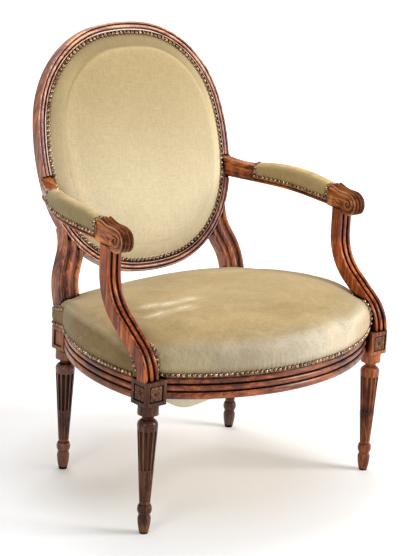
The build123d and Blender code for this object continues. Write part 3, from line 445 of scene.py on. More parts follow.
def woodMaterial(name, grain, lift=(1, 1, 1), wearAndHighlightShare=0.8, gloss=0.25, legShare=1.0, beadHighlightShare=0.0,
                 grooves=(0.46, 0.90), sideLift=None):
    # grain is how close its lines lie along each axis: small along the grain
    # the leg share darkens what is below the seat with painted shade, the bead share paints a highlight on
    # the medallion's inner bead
    # grooves are how open a hollow is where its dirt and painted shade are full and where they end
    # sideLift is the lift of what doesn't face forward with the back; the forward face keeps the main lift, a
    # painted pale highlight
    material, tree, shader, place = startMaterial(name)
    streaks = addNoise(tree, stretched(tree, place, grain), 1.0, 5.0, 0.6, 0.4)
    fibres = addNoise(tree, stretched(tree, place, tuple(6 * v for v in grain)), 1.0, 3.0, 0.6)
    patches = addNoise(tree, place, 11.0, 3.0, 0.5, 0.6)
    tone = blended(tree, streaks, patches, 0.55)
    colour = addRamp(tree, tone, *liftedTones(lift))
    # faces that turn away from the back's forward direction get the side lift, without the painted highlight
    if sideLift:
        tilt = math.radians(chair["backRake"])
        facing = addNode(tree, "ShaderNodeNewGeometry").outputs["Normal"]
        forward = addNode(tree, "ShaderNodeVectorMath", {0: facing, 1: (0, -math.cos(tilt), math.sin(tilt))},
                          operation="DOT_PRODUCT").outputs["Value"]
        plain = addRamp(tree, tone, *liftedTones(sideLift))
        colour = addMix(tree, addSpan(tree, forward, 0.05, 0.45), plain, colour)
    pores = addRamp(tree, fibres, (0.38, (0.42, 0.38, 0.36)), (0.52, 1))
    colour = addMix(tree, 0.8, colour, pores, "MULTIPLY")
    # worn edges and painted ridge highlights: where the piece is thin when looked into, in random patches
    edgeWearAndHighlight = addRamp(tree, openness(tree, wood["edgeReach"], 8, True), (0.18, 1), (0.52, 0))
    wornAndHighlit = addRamp(tree, addNoise(tree, place, 24.0, 4.0, 0.6), (0.38, 0), (0.60, wearAndHighlightShare))
    colour = addMix(tree, addMix(tree, 1.0, edgeWearAndHighlight, wornAndHighlit, "MULTIPLY"), colour, wood["wornAndHighlit"])
    # painted shade on what stands below the seat
    if legShare < 1:
        level = addNode(tree, "ShaderNodeSeparateXYZ", {0: place}).outputs[2]
        colour = addMix(tree, addSpan(tree, level, 0.27, 0.36, legShare, 1.0), wood["belowSeatShade"], colour)
    # a painted highlight along the medallion's inner bead
    if beadHighlightShare > 0:
        colour = addMix(tree, times(tree, innerBeadHighlight(tree, place), beadHighlightShare), colour, wood["beadHighlight"])
    # how open each place is: dirt and painted shade fill the grooves
    depth = addRamp(tree, openness(tree, wood["grooveReach"], 10), (grooves[0], 0), (grooves[1], 1))
    height = plus(tree, fibres, times(tree, addNoise(tree, place, 90.0, 2.0), 1.5))
    # the grooves get near-black dirt and painted shade from how open they are, and no shine down in them,
    # where wax and dirt lie
    fillInputs(tree, shader, {
        "Base Color": addMix(tree, depth, wood["groove"], colour),
        "Roughness": addSpan(tree, patches, 0.3, 0.7, 0.26, 0.42),
        "Normal": addBump(tree, height, 0.35, 0.0004),
        "Specular IOR Level": times(tree, depth, gloss),
        "Coat Weight": times(tree, depth, gloss / 2),
        "Coat Roughness": 0.16,
    })
    return material


def velvetMaterial(name, dark, light, sideLightAndShade, pale, patchSize, paleShare, slub, rake=0.0):
    # sides are the tones where the cloth turns upright, from its left side to its right: painted shade to the
    # left, painted light and sheen to the right
    # pale is the tone of rubbed places, slub how much the threads vary
    material, tree, shader, place = startMaterial(name)
    warped = addNoise(tree, place, patchSize, 4.0, 0.6, 1.2)
    colour = addRamp(tree, warped, (0.35, dark), (0.62, light))
    facing = addNode(tree, "ShaderNodeNewGeometry").outputs["Normal"]
    facing = addNode(tree, "ShaderNodeSeparateXYZ", {0: facing}).outputs
    # upright faces take painted light and shade by which way they face
    turned = addRamp(tree, facing[2], (0.68, 1), (0.96, 0))
    sideways = plus(tree, times(tree, facing[0], 0.5), 0.5)
    sideways = plus(tree, sideways, times(tree, addMath(tree, "SUBTRACT", warped, 0.5), 0.3))
    colour = addMix(tree, turned, colour, addRamp(tree, sideways, *sideLightAndShade))
    flat = stretched(tree, place, turn=(math.radians(rake), 0, 0))
    across = addNoise(tree, stretched(tree, flat, (62, 560, 560)), 1.0, 3.0)
    upright = addNoise(tree, stretched(tree, flat, (560, 62, 62)), 1.0, 3.0)
    threads = plus(tree, across, upright)
    weave = addRamp(tree, times(tree, threads, 0.5), (0.40, 1 - 0.26 * slub), (0.60, 1 + 0.20 * slub))
    colour = addMix(tree, 0.9, colour, weave, "MULTIPLY")
    rubbed = addNoise(tree, stretched(tree, place, (9, 9, 30)), 1.0, 5.0, 0.65, 1.5)
    colour = addMix(tree, addRamp(tree, rubbed, (0.56, 0), (0.72, paleShare)), colour, pale)
    scraped = addNoise(tree, stretched(tree, place, (30, 170, 60), (0, 0, 0.14)), 1.0, 4.0, 0.7, 0.8)
    scraped = addRamp(tree, scraped, (0.38, 0.18), (0.54, 1))
    smear = addNode(tree, "ShaderNodeAttribute", attribute_name="smear").outputs["Fac"]
    colour = addMix(tree, times(tree, smear, scraped, True), colour, pale)
    shade = addNode(tree, "ShaderNodeAttribute", attribute_name="shade").outputs["Color"]
    colour = addMix(tree, 1.0, colour, shade, "MULTIPLY")
    # painted shade in nooks and creases, from how open they are
    nookShade = addRamp(tree, openness(tree, 0.009, 10), (0.30, (0.16, 0.10, 0.055)), (0.92, 1))
    pile = plus(tree, threads, addNoise(tree, place, 1400.0, 2.0))
    fillInputs(tree, shader, {
        "Base Color": addMix(tree, 1.0, colour, nookShade, "MULTIPLY"),
        "Roughness": 0.88,
        "Specular IOR Level": 0.2,
        "Sheen Weight": 0.35,
        "Sheen Roughness": 0.4,
        "Sheen Tint": (0.95, 0.90, 0.72, 1),
        "Normal": addBump(tree, pile, 0.3, 0.0007),
    })
    return material


def clothMaterial(name, dark, light, spacing, bumpDepth=0.0004):
    material, tree, shader, place = startMaterial(name)
    waves = [addNode(tree, "ShaderNodeTexWave", {
        "Vector": place, "Scale": 0.31 / spacing, "Distortion": 1.2, "Detail": 2.0},
        bands_direction=direction).outputs["Fac"] for direction in ("X", "Y")]
    weave = times(tree, plus(tree, *waves), 0.5)
    tone = blended(tree, weave, addNoise(tree, place, 9.0, 4.0, 0.6, 0.8), 0.4)
    fillInputs(tree, shader, {
        "Base Color": addRamp(tree, tone, (0.3, dark), (0.65, light)),
        "Roughness": 0.92,
        "Normal": addBump(tree, weave, 0.4, bumpDepth),
    })
    return material


def brassMaterial(name):
    material, tree, shader, place = startMaterial(name)
    tarnish = addNoise(tree, place, 160.0, 3.0, 0.6, 0.5)
    colour = addRamp(tree, tarnish, (0.34, (0.06, 0.032, 0.018)), (0.50, (0.27, 0.165, 0.095)),
                     (0.66, (0.60, 0.44, 0.30)))
    # grime and painted shade round each dome's foot, from how open it is
    grimeAndShade = addRamp(tree, openness(tree, 0.004, 8), (0.30, 0), (0.72, 1))
    fillInputs(tree, shader, {
        "Base Color": addMix(tree, grimeAndShade, (0.008, 0.004, 0.002), colour),
        "Metallic": 1.0,
        "Roughness": addSpan(tree, tarnish, 0.3, 0.7, 0.30, 0.16),
    })
    return material


grainAcross, grainBack, grainUp = (9.0, 130.0, 130.0), (130.0, 9.0, 130.0), (130.0, 130.0, 9.0)
grainLeg = (150.0, 150.0, 10.0)
# the medallion's forward faces are lifted to pale pink as a painted highlight, its other faces less
medallion = {"beadHighlightShare": 0.85, "sideLift": (1.5, 1.75, 1.7)}
crestGrain = woodMaterial("walnutMedallion", grainAcross, (2.3, 3.5, 6.4), 1.0, 0.5, **medallion)
stileGrain = woodMaterial("walnutMedallionSide", grainUp, (2.4, 3.9, 9.0), 1.0, 0.5, **medallion)
railGrain = woodMaterial("walnutRail", grainAcross, (1.05, 1.05, 1.05), 0.9, 0.34, grooves=(0.54, 0.95))
deepGrain = woodMaterial("walnutFrontToBack", grainBack, (1.25, 1.3, 1.1), 0.9, 0.34, grooves=(0.54, 0.95))
armGrain = woodMaterial("walnutArm", grainBack, (1.65, 1.80, 1.25), 0.8, 0.25, grooves=(0.56, 0.96))
stumpGrain = woodMaterial("walnutStump", grainUp, (1.50, 1.40, 0.95), 0.75, 0.26, grooves=(0.56, 0.96))
# the uprights get painted shade where they run below the seat
uprightGrain = woodMaterial("walnutUpright", grainUp, (1.55, 1.85, 1.95), 0.9, 0.4, 0.33,
                            grooves=(0.70, 0.98))
# the front legs are a shaded and a lit copy of one finish: painted shade on the left leg, painted light on
# the right
shadedLegGrain = woodMaterial("walnutShadedLeg", grainLeg, (0.45, 0.62, 0.85), 0.9, 0.2)
litRightLegGrain = woodMaterial("walnutLitRightLeg", grainLeg, (1.05, 1.2, 1.35), 0.9, 0.2)
carvedGrain = woodMaterial("walnutCarved", (110.0, 110.0, 40.0), (0.5, 0.6, 0.7), 0.35, 0.2)
pegGrain = woodMaterial("walnutPegs", (130.0, 40.0, 130.0))
seatVelvet = velvetMaterial(
    "seatVelvet", (0.34, 0.240, 0.098), (0.45, 0.318, 0.142),
    [(0.05, (0.25, 0.165, 0.070)), (0.22, (0.48, 0.39, 0.230)), (0.31, (0.39, 0.32, 0.21)),
     (0.40, (0.46, 0.385, 0.27)), (0.50, (0.55, 0.48, 0.36)), (0.63, (0.69, 0.59, 0.42)),
     (0.78, (0.56, 0.42, 0.24))], (0.80, 0.70, 0.49), 5.0, 0.12, 0.6)
backVelvet = velvetMaterial(
    "backVelvet", (0.52, 0.425, 0.245), (0.62, 0.52, 0.325),
    [(0.0, (0.56, 0.46, 0.28)), (1.0, (0.61, 0.51, 0.32))], (0.70, 0.62, 0.44), 4.0, 0.15, 0.42,
    chair["backRake"])
padVelvet = velvetMaterial(
    "padVelvet", (0.40, 0.28, 0.120), (0.58, 0.42, 0.200),
    [(0.1, (0.34, 0.255, 0.120)), (0.9, (0.52, 0.41, 0.21))], (0.70, 0.60, 0.38), 14.0, 0.2, 0.5)
creamCloth = clothMaterial("creamCloth", (0.68, 0.56, 0.38), (0.92, 0.82, 0.65), 0.0011)
jute = clothMaterial("juteWebbing", (0.25, 0.17, 0.08), (0.45, 0.34, 0.19), 0.0016, 0.0008)
hessian = clothMaterial("hessian", (0.30, 0.22, 0.12), (0.50, 0.40, 0.25), 0.0014, 0.0006)
brass = brassMaterial("antiqueBrass")
print("materials made")

# the wooden frame keeps its CAD solids

finishes = [
    (("medallion_crest", "medallion_foot"), crestGrain),
    ("medallion_stile", stileGrain),
    (("front_rail", "rear_rail"), railGrain),
    (("side_rail", "arm_left", "arm_right"), deepGrain),
    ("front_leg_right", litRightLegGrain),
    ("front_leg", shadedLegGrain),
    ("arm_stump", stumpGrain),
    (("joint_pegs", "back_dowels"), pegGrain),
    ("", uprightGrain),
]
for name, node in nodes.items():
    node.data.materials.clear()
    node.data.materials.append(next(finish for starts, finish in finishes if name.startswith(starts)))
print("wood finished")

# seat cushion

seat = {
    "points": 480,
    "middleY": -80.0,
    "crownHeight": 432.0,
    "crownDepthRadius": 900.0,
    "crownWidthRadius": 2200.0,
    "shoulder": 27.0,
    "bulge": 3.4,
    "nailHeight": 338.0,
    "skirtBase": 333.6,
    "underside": 355.0,
    "cornerDrop": 15.0,
    "rearEdge": 163.0,
    "rearBlock": (267.5, 116.0),
    "frontBlock": (300.0, -238.0),
    "corners": [(335, -205, 48, 55), (262, 150, 40, 40)],
    "domeRings": 22,
}


def insideSeat(x, y, reach):
    # whether a place lies within the seat's rails and blocks
    x = abs(x)
    rearX, rearY = seat["rearBlock"]
    frontX, frontY = seat["frontBlock"]
    if y > seat["rearEdge"] + reach:
        return False
    flank = math.hypot(x - chair["sideBowX"], y - chair["sideBowY"]) < chair["sideBowRadius"] + reach
    if not flank and not (x < rearX + reach and y > rearY - reach):
        return False
    front = math.hypot(x, y - chair["frontBowY"]) < chair["frontBowRadius"] + reach
    return front or (x > frontX - reach and y > frontY - reach)


def seatEdge(reach):
    # the seat's plan at a reach outside the rails, as distances from its middle
    distances = []
    for angle in np.arange(seat["points"]) * 2 * math.pi / seat["points"]:
        near, far = 50.0, 600.0
        while far - near > 0.001:
            middle = (near + far) / 2
            if insideSeat(math.cos(angle) * middle, seat["middleY"] + math.sin(angle) * middle, reach):
                near = middle
            else:
                far = middle
        distances.append(near)
    distances = np.array(distances)
    for _ in range(3):  # softens the corners a little
        distances = (np.roll(distances, 1) + 2 * distances + np.roll(distances, -1)) / 4
    return distances


def seatFlat(reach, extra=0.0):
    angles = np.arange(seat["points"]) * 2 * math.pi / seat["points"]
    away = seatEdge(reach) + extra
    return np.stack([np.cos(angles) * away, seat["middleY"] + np.sin(angles) * away], 1)


def seatOutline():
    points = seatFlat(0.0)
    return points, closedNormals(points)


def seatDome(x, y):
    # the cushion's top: a shallow dome that falls away at the four corners
    height = seat["crownHeight"] - (y - seat["middleY"]) ** 2 / (2 * seat["crownDepthRadius"])
    height = height - x ** 2 / (2 * seat["crownWidthRadius"])
    fall = sum(np.exp(-(((np.abs(x) - a) / wide) ** 2 + ((y - b) / deep) ** 2))
               for a, b, wide, deep in seat["corners"])
    return height - seat["cornerDrop"] * fall


def buildSeat():
    walked = walkedAlong(seatFlat(0.0))
    uneven = np.array([0.75 + 0.9 * noise.noise(Vector((w / 34, 4.0, 1.0))) for w in walked])
    pucker = -0.95 * np.cos(2 * math.pi * walked / chair["puckerPitch"]) * uneven
    shoulder, bulge, low = seat["shoulder"], seat["bulge"], seat["nailHeight"]
    under, base, count = seat["underside"], seat["skirtBase"], seat["domeRings"]
    edge = seatFlat(-shoulder)
    brow = seatDome(edge[:, 0], edge[:, 1]) - shoulder * 0.95
    skirt = [
        (-60, under), (-6, under), (0.2, under - 2), (0.2, base + 0.6), (0.9, base), (1.7, base + 0.8),
        (1.6, low - 1.5), (1.7, low + 2.0), (2.6, low + 5.0), (bulge + 0.2, low + 10),
        (bulge + 0.8, low + 17), (bulge + 0.7, (low + 17 + brow) / 2),
    ]
    rings = []
    for number, (reach, height) in enumerate(skirt):
        gather = pucker * math.exp(-(number - 7) / 2.4) if number >= 7 else 0.0
        rings.append((seatFlat(reach, gather), height))
    for turn in range(0, 91, 10):
        angle = math.radians(turn)
        flat = seatFlat((shoulder + bulge) * math.cos(angle) - shoulder)
        rings.append((flat, brow + shoulder * 0.95 * math.sin(angle)))
    middle = np.array([0, seat["middleY"]])
    for step in range(1, count):
        spot = middle + (flat - middle) * (1 - step / count)
        rings.append((spot, seatDome(spot[:, 0], spot[:, 1])))
    rings = np.array([np.column_stack([spots, np.broadcast_to(height, len(spots))])
                      for spots, height in rings])
    for ring in rings[9:]:  # slow dents of an old seat
        for point in ring:
            spot = Vector(point) / 1000
            point[2] += 2.2 * noise.noise(spot * 7.0) + 0.7 * noise.noise(spot * 23.0)
    return ringsMesh("seatCushion", put(rings), seatVelvet)


# back pad

def ovalPath(offset, step=1.0):
    # points round the nail line and their outward directions, evenly spaced
    o = oval
    cx, cy, rc = o["cornerX"], o["cornerY"], o["cornerRadius"]
    arcs = [
        (o["halfWidth"] - o["flankRadius"], 0, o["flankRadius"], -o["flankHalf"], o["flankHalf"]),
        (cx, cy, rc, o["flankHalf"], 90 - o["crestHalf"]),
        (0, o["halfHeight"] - o["crestRadius"], o["crestRadius"], 90 - o["crestHalf"], 90 + o["crestHalf"]),
        (-cx, cy, rc, 90 + o["crestHalf"], 180 - o["flankHalf"]),
        (o["flankRadius"] - o["halfWidth"], 0, o["flankRadius"], 180 - o["flankHalf"], 180 + o["flankHalf"]),
        (-cx, -cy, rc, 180 + o["flankHalf"], 270 - o["crestHalf"]),
        (0, o["crestRadius"] - o["halfHeight"], o["crestRadius"], 270 - o["crestHalf"], 270 + o["crestHalf"]),
        (cx, -cy, rc, 270 + o["crestHalf"], 360 - o["flankHalf"]),
    ]
    points, ways = [], []
    for x, y, radius, first, last in arcs:
        count = max(2, int(radius * math.radians(last - first) / step))
        for k in range(count):
            angle = math.radians(first + (last - first) * k / count)
            way = (math.cos(angle), math.sin(angle))
            points.append((x + (radius + offset) * way[0], y + (radius + offset) * way[1]))
            ways.append(way)
    return np.array(points), np.array(ways)


backPad = {
    "step": 3.2,
    "crown": 27.5,
    "middleRings": 20,
    "profile": [
        (-7, 0.7), (2.6, 0.6), (3.0, 1.4), (2.7, 2.3), (1.2, 2.6), (-1.2, 2.7), (-3.5, 3.2), (-7, 5.4),
        (-12, 8.6), (-18, 11.8), (-24, 14.2), (-29, 15.5), (-31.6, 16.0), (-32.8, 17.0), (-33.8, 19.2),
        (-36, 21.4), (-41, 23.2), (-50, 24.6)],
    "faded": ((3, 12, 20, 28, 36, 44, 50), (3.4, 11.0, 16.2, 19.4, 21.8, 23.6, 24.6)),
    "creaseRings": (12, 14),
    # painted shade at the top and on the border, painted light low down
    "topShade": (0.80, 0.725, 0.575),
    "lowShade": (1.30, 1.34, 1.42),
    "borderShade": (0.68, 0.67, 0.66),
}


def creaseFade(u, v):
    # 0 where the border's crease is sharp, 1 low down and on the left, where wear has softened it
    low = 1 - np.clip((v + 190) / 240, 0, 1)
    return np.maximum(low, blend(-110, -180, u) * (1 - blend(60, 190, v)))


def buildBackPad():
    points, ways = ovalPath(0, backPad["step"])
    pucker = 0.35 * np.cos(2 * math.pi * walkedAlong(points) / chair["puckerPitch"])
    inner, base = backPad["profile"][-1]
    flat = points + ways * inner
    rings = [backPoints(flat[:, 0] * 0.5, flat[:, 1] * 0.5, 0.7)]
    for number, (offset, height) in enumerate(backPad["profile"]):
        flat = points + ways * offset
        if offset < -3:  # the crease fades towards the foot of the back
            soft = np.interp(-offset, *backPad["faded"])
            height = height + (soft - height) * 0.85 * creaseFade(flat[:, 0], flat[:, 1])
        lift = pucker * math.exp(-abs(offset + 5) / 5.0) if number > 4 else 0
        slow = dents(flat, 3.0, 60, 0.9) if offset < -8 else 0
        rings.append(backPoints(flat[:, 0], flat[:, 1], height + lift + slow))
    for step in range(1, backPad["middleRings"]):
        spot = flat * (1 - step / backPad["middleRings"])
        radius = np.hypot(spot[:, 0] / (oval["halfWidth"] + inner), spot[:, 1] / (oval["halfHeight"] + inner))
        height = base + (backPad["crown"] - base) * (1 - radius ** 2)
        rings.append(backPoints(spot[:, 0], spot[:, 1], height + dents(spot, 9.0, 75, 1.1)))
    return ringsMesh("backPad", put(np.array(rings)), backVelvet)


# arm pads

armPad = {
    "bendStart": 137.0,
    "bendRadius": 286.97,
    "bendTurn": 24.0,
    "front": 64.0,
    "rear": 283.6,
    "half": 16.4,
    "skirt": -5.0,
    "topFront": 32.0,
    "topMiddle": 39.5,
    "topRear": 28.0,
    "endRound": 13.0,
    "armTop": 10.3,
}


def armLine(along):
    # middle line of the right arm on its plane: x and direction at a distance back
    start, radius, turn = armPad["bendStart"], armPad["bendRadius"], math.radians(armPad["bendTurn"])
    if along <= start:
        return chair["stumpX"], along, 0.0
    bend = (along - start) / radius
    if bend < turn:
        return chair["stumpX"] - radius * (1 - math.cos(bend)), start + radius * math.sin(bend), bend
    over = along - start - radius * turn
    x = chair["stumpX"] - radius * (1 - math.cos(turn)) - over * math.sin(turn)
    return x, start + radius * math.sin(turn) + over * math.cos(turn), turn


def armAcross(station, across, up):
    # places across the arm, at a distance back along its bent line
    x, along, bend = armLine(station)
    return armPoints(x + across * math.cos(bend), along + across * math.sin(bend), up)


def padLength():
    # distance along the bent line at which the pad's end wall stands
    length = armPad["rear"]
    while armLine(length)[1] < armPad["rear"]:
        length += 0.5
    return length


def padTop(share):
    a, b, c = armPad["topFront"], armPad["topMiddle"], armPad["topRear"]
    return a * (1 - share) * (1 - 2 * share) + 4 * b * share * (1 - share) + c * share * (2 * share - 1)


def buildArmPad(side, name):
    front, half, length = armPad["front"], armPad["half"], padLength()
    skirt, inner, rounded = armPad["skirt"], armPad["armTop"], armPad["endRound"]
    stations = [front + s for s in (0, 0.8, 2, 4, 7, 11, 16)]
    stations += list(np.linspace(front + 22, length - 22, 34))
    stations += [length - s for s in (16, 11, 7, 4, 2, 0.8, 0)]
    rings = []
    for station in stations:
        top = padTop((station - front) / (length - front))
        gap = min(station - front, length - station)
        if gap < rounded:
            k = 1 - gap / rounded
            top -= rounded * (1 - math.sqrt(max(0.0, 1 - k * k)))
        wide = half - (1.2 * (1 - gap / 6.0) if gap < 6 else 0)
        knee = top * 0.55
        ring = [(-wide + 1.6, skirt + 0.3), (-wide + 0.7, skirt), (-wide, skirt + 0.8), (-wide, 0.0),
                (-wide - 0.5, 5.0), (-wide - 0.9, 10.0)]
        for turn in range(0, 181, 12):
            angle = math.radians(turn)
            ring.append((-(wide + 1.0) * math.cos(angle) * (1 - 0.06 * math.sin(angle) ** 2),
                         knee + (top - knee) * math.sin(angle) ** 0.82))
        ring += [(wide + 0.9, 10.0), (wide + 0.5, 5.0), (wide, 0.0), (wide, skirt + 0.8), (wide - 0.7, skirt),
                 (wide - 1.6, skirt + 0.3), (wide - 1.9, inner), (0, inner), (-wide + 1.9, inner)]
        across, up = np.array(ring).T
        uneven = dents([(c, station) for c in across], 5.0, 18, 0.5) * (up > 8)
        rings.append(armAcross(station, across, up + uneven))
    return ringsMesh(name, mirrored(rings, side), padVelvet)


# wooden arms with their scrolled hand rests

arm = {
    "half": 14.0,
    "low": -15.4,
    "seatTop": 10.0,
    "padEnd": 284.0,
    "rearTop": 24.0,
    "jointTop": 31.0,
    "sharp": 50.0,
    "side": [
        (0.0, 0.80), (0.04, 0.93), (0.11, 1.0), (0.18, 0.98), (0.23, 0.90), (0.26, 0.84), (0.31, 0.90),
        (0.40, 0.93), (0.50, 0.93), (0.60, 0.93), (0.69, 0.90), (0.74, 0.84), (0.77, 0.90), (0.82, 0.98),
        (0.90, 1.0), (0.97, 0.93), (1.0, 0.80)],
}


def carved(name, rings, side, sharp):
    # a wooden piece of an arm, with crisp edges where it bends by more than so many degrees
    piece = outwards(ringsMesh(name, mirrored(rings, side), armGrain))
    piece.data.set_sharp_from_angle(angle=math.radians(sharp))
    return piece


def buildArm(side, name):
    low, end, half = arm["low"], arm["padEnd"], arm["half"]
    joint = end
    while heightOut(armPoints(*armLine(joint)[:2], 8.0)) > 0.3:
        joint += 0.5
    stations = [(s, arm["seatTop"]) for s in np.linspace(50, end + 1.5, 35)]
    for s in np.linspace(0, 1, 16):
        top = arm["rearTop"] + (arm["jointTop"] - arm["rearTop"]) * s - 4.0 * math.sin(math.pi * s)
        stations.append((end + 1.6 + s * (joint - end + 18), top))
    rings = []
    for station, top in stations:
        flank = [(half * w, low + (top - low) * h) for h, w in arm["side"]]
        rise = (0.9, 1.2) if station > end else (0.0, 0.0)
        section = [(-w, h) for w, h in flank]
        section += [(-7.0, top + rise[0]), (0.0, top + rise[1]), (7.0, top + rise[0])]
        section += flank[::-1] + [(7.0, low - 0.4), (0.0, low - 0.6), (-7.0, low - 0.4)]
        points = armAcross(station, *np.array(section).T)
        # the end is cut off in the back's plane
        bend = armLine(station)[2]
        way = armPoints(-math.sin(bend), math.cos(bend), 0.0) - armPoints(0.0, 0.0, 0.0)
        fall = heightOut(way + np.array([0, chair["backY"], chair["backHeight"]]))
        over = np.minimum(0.0, heightOut(points) - 0.3)
        rings.append(points - way * (over / fall)[:, None])
    return carved(name, rings, side, arm["sharp"])


handRest = {
    "half": 14.6,
    "length": 63.4,
    "beads": 3,
    "beadDepth": 6.4,
    "sharp": 45.0,
    "top": [
        (63.4, 28.0), (60, 29.6), (55, 29.3), (49, 27.6), (42, 25.4), (34, 23.6), (26, 22.7), (16, 22.8),
        (7, 22.9), (-1, 21.9), (-9.5, 18.4), (-15.8, 12.2), (-18.8, 3.8), (-18.4, -5.0), (-14.4, -12.4),
        (-7.4, -16.8), (0.5, -18.0), (8.5, -17.2), (14.5, -15.6)],
    "eyeHeight": 2.4,
    "eyeRadius": 3.4,
    "volute": 14.7,
    "voluteEnd": 3.2,
    "voluteTurns": 1.25,
    "stem": [(60, 23.6), (54, 24.4), (48, 22.9), (41, 20.8), (33, 19.1), (25, 18.3), (16, 18.2), (8, 17.9)],
    "leaves": [[(20, -6), (27, -7.5), (34, -6.5), (41, -2.5)], [(20, -1), (27, 0.0), (34, 3.4), (41, 8.6)]],
}


def buildHandRest(side, name):
    rest = handRest
    top = smoothLine(rest["top"], 84)
    floor = np.column_stack([np.linspace(17, rest["length"], 10), np.full(10, -15.5)])
    rear = np.column_stack([np.full(6, rest["length"]), np.linspace(-10, 28, 6)])
    line = np.vstack([top, floor, rear])
    depth = np.full(len(line), rest["beadDepth"])
    depth[:8] = np.linspace(1.0, rest["beadDepth"], 8)
    depth[len(top):] = 0.8
    normal = closedNormals(line)
    rings = []
    for x in np.linspace(-1, 1, 43):
        place = (x + 1) / 2 * rest["beads"]
        within = 2 * (place - min(int(place), rest["beads"] - 1)) - 1
        sink = 1 - math.sqrt(max(0.0, 1 - 0.97 * within ** 2))
        flat = line + normal * (depth * sink)[:, None]
        rings.append(armPoints(chair["stumpX"] + x * rest["half"], flat[:, 0], flat[:, 1]))
    return carved(name, rings, side, rest["sharp"])


def ridgeRings(path, widths, height, x, way):
    # a half-round ridge that lies on a side face of the hand rest
    tangent = unitRows(np.gradient(path, axis=0))
    normal = np.column_stack([-tangent[:, 1], tangent[:, 0]])
    rings = []
    for spot, out, width in zip(path, normal, widths):
        ring = []
        for k in range(8):
            angle = 2 * math.pi * k / 8
            flat = spot + out * width * math.cos(angle)
            rise = height * (width / max(widths)) ** 0.6 * math.sin(angle)
            ring.append(armPoints(x + way * rise, flat[0], flat[1]))
        rings.append(ring)
    return rings


def eyeRings(x, way):
    # the small dome in the middle of the volute
    rings = []
    for k in range(7):
        bend = math.pi / 2 * k / 7
        reach = handRest["eyeRadius"] * math.cos(bend)
        rings.append([armPoints(x + way * (2.6 * math.sin(bend) - 0.4), reach * math.cos(a),
                                handRest["eyeHeight"] + reach * math.sin(a))
                      for a in np.linspace(0, 2 * math.pi, 20, endpoint=False)])
    return rings


def buildScrolls(side, name):
    # carved volute, its trailing stem and a small leaf on both faces of a hand rest
    rest = handRest
    turns = np.linspace(0, rest["voluteTurns"] * 2 * math.pi, 60)
    radius = rest["volute"] - (rest["volute"] - rest["voluteEnd"]) * (turns / turns[-1]) ** 1.25
    volute = np.column_stack([-radius * np.sin(turns), radius * np.cos(turns) + rest["eyeHeight"]])
    widths = np.concatenate([np.linspace(3.6, 4.3, 30), np.linspace(4.3, 1.9, 60)])
    shapes = [(np.vstack([smoothLine(rest["stem"], 30), volute]), widths, 3.6)]
    for leaf in rest["leaves"]:
        shapes.append((smoothLine(leaf, 14), 0.6 + 2.2 * np.sin(np.linspace(0.12, 0.97, 14) * math.pi), 1.8))
    pieces = []
    for way in (-1, 1):
        face = chair["stumpX"] + way * (rest["half"] - 0.2)
        ridges = [ridgeRings(path, wide, height, face, way) for path, wide, height in shapes]
        for rings in ridges + [eyeRings(face, way)]:
            pieces.append(outwards(ringsMesh("ridge", mirrored(rings, side), armGrain)))
    return join(name, pieces, True)


def join(name, pieces, smooth=False):
    points, faces = [], []
    for piece in pieces:
        base = len(points)
        points += [tuple(v.co) for v in piece.data.vertices]
        faces += [tuple(base + i for i in p.vertices) for p in piece.data.polygons]
    material = pieces[0].data.materials[0]
    for piece in pieces:
        bpy.data.objects.remove(piece)
    return newMesh(name, points, faces, material, smooth)


for side, word in ((-1, "Left"), (1, "Right")):
    finishPiece(buildArm(side, "arm" + word), "walnut", "arm_" + word.lower())
    finishPiece(buildHandRest(side, "handRest" + word), "walnut")
    finishPiece(buildScrolls(side, "scrollCarving" + word), "walnut")
print("arms carved")

# rosettes on the front blocks

rosette = {
    "radius": 14.6,
    "corner": 4.6,
    "height": 3.4,
    "sink": 2.6,
    "middle": (316.0, -239.0, 305.5),
    "face": 264.0,
    "flank": 341.5,
    "petalShares": (1.0, 0.97, 0.90, 0.80, 0.68, 0.56, 0.46, 0.38, 0.33),
    "buttonShares": (0.29, 0.25, 0.20, 0.13, 0.06),
}


def rosetteRings():
    # a square flower: four large petals to the corners, four small ones between, a button in the middle
    angles = np.linspace(0, 2 * math.pi, 96, endpoint=False)
    reach = rosette["radius"] + rosette["corner"] * np.abs(np.sin(2 * angles)) ** 1.6
    petal = np.abs(np.cos(4 * angles)) ** 0.55
    reach = reach * (1 - 0.16 * (1 - petal))
    vein = 0.5 * np.exp(-(((angles / (math.pi / 4) + 0.5) % 1 - 0.5) / 0.09) ** 2)
    levels = [(reach, -0.6)]
    for share in rosette["petalShares"]:
        swell = math.sin(math.pi * min(1.0, (1.02 - share) / 0.66)) ** 0.6 if share < 1 else 0.1
        height = rosette["height"] * (0.25 + 0.75 * swell * petal) * (0.8 + 0.2 * np.abs(np.sin(2 * angles)))
        levels.append((reach * share, height - vein * swell))
    for share in rosette["buttonShares"]:
        height = rosette["height"] * (0.55 + 0.75 * math.sqrt(1 - (share / 0.31) ** 2))
        levels.append((rosette["radius"] * share, height))
    return np.array([np.column_stack([r * np.cos(angles), r * np.sin(angles), np.broadcast_to(h, 96)])
                     for r, h in levels])


def buildRosettes():
    flower = rosetteRings()
    x, y, z = rosette["middle"]
    pieces = []
    for side in (-1, 1):
        a, b, out = flower[..., 0], flower[..., 1], flower[..., 2] - rosette["sink"]
        front = np.stack([side * x + a, -rosette["face"] - out, z + b], -1)
        flank = np.stack([side * (rosette["flank"] + out), y + a, z + b], -1)
        for rings in (front, flank):
            pieces.append(outwards(ringsMesh("flower", put(rings), carvedGrain)))
    return join("blockRosettes", pieces, True)


finishPiece(buildRosettes(), "walnut")
print("rosettes carved")

seatCushion = outwards(buildSeat())
backCushion = outwards(buildBackPad())
armPads = [outwards(buildArmPad(side, name)) for side, name in ((-1, "armPadLeft"), (1, "armPadRight"))]


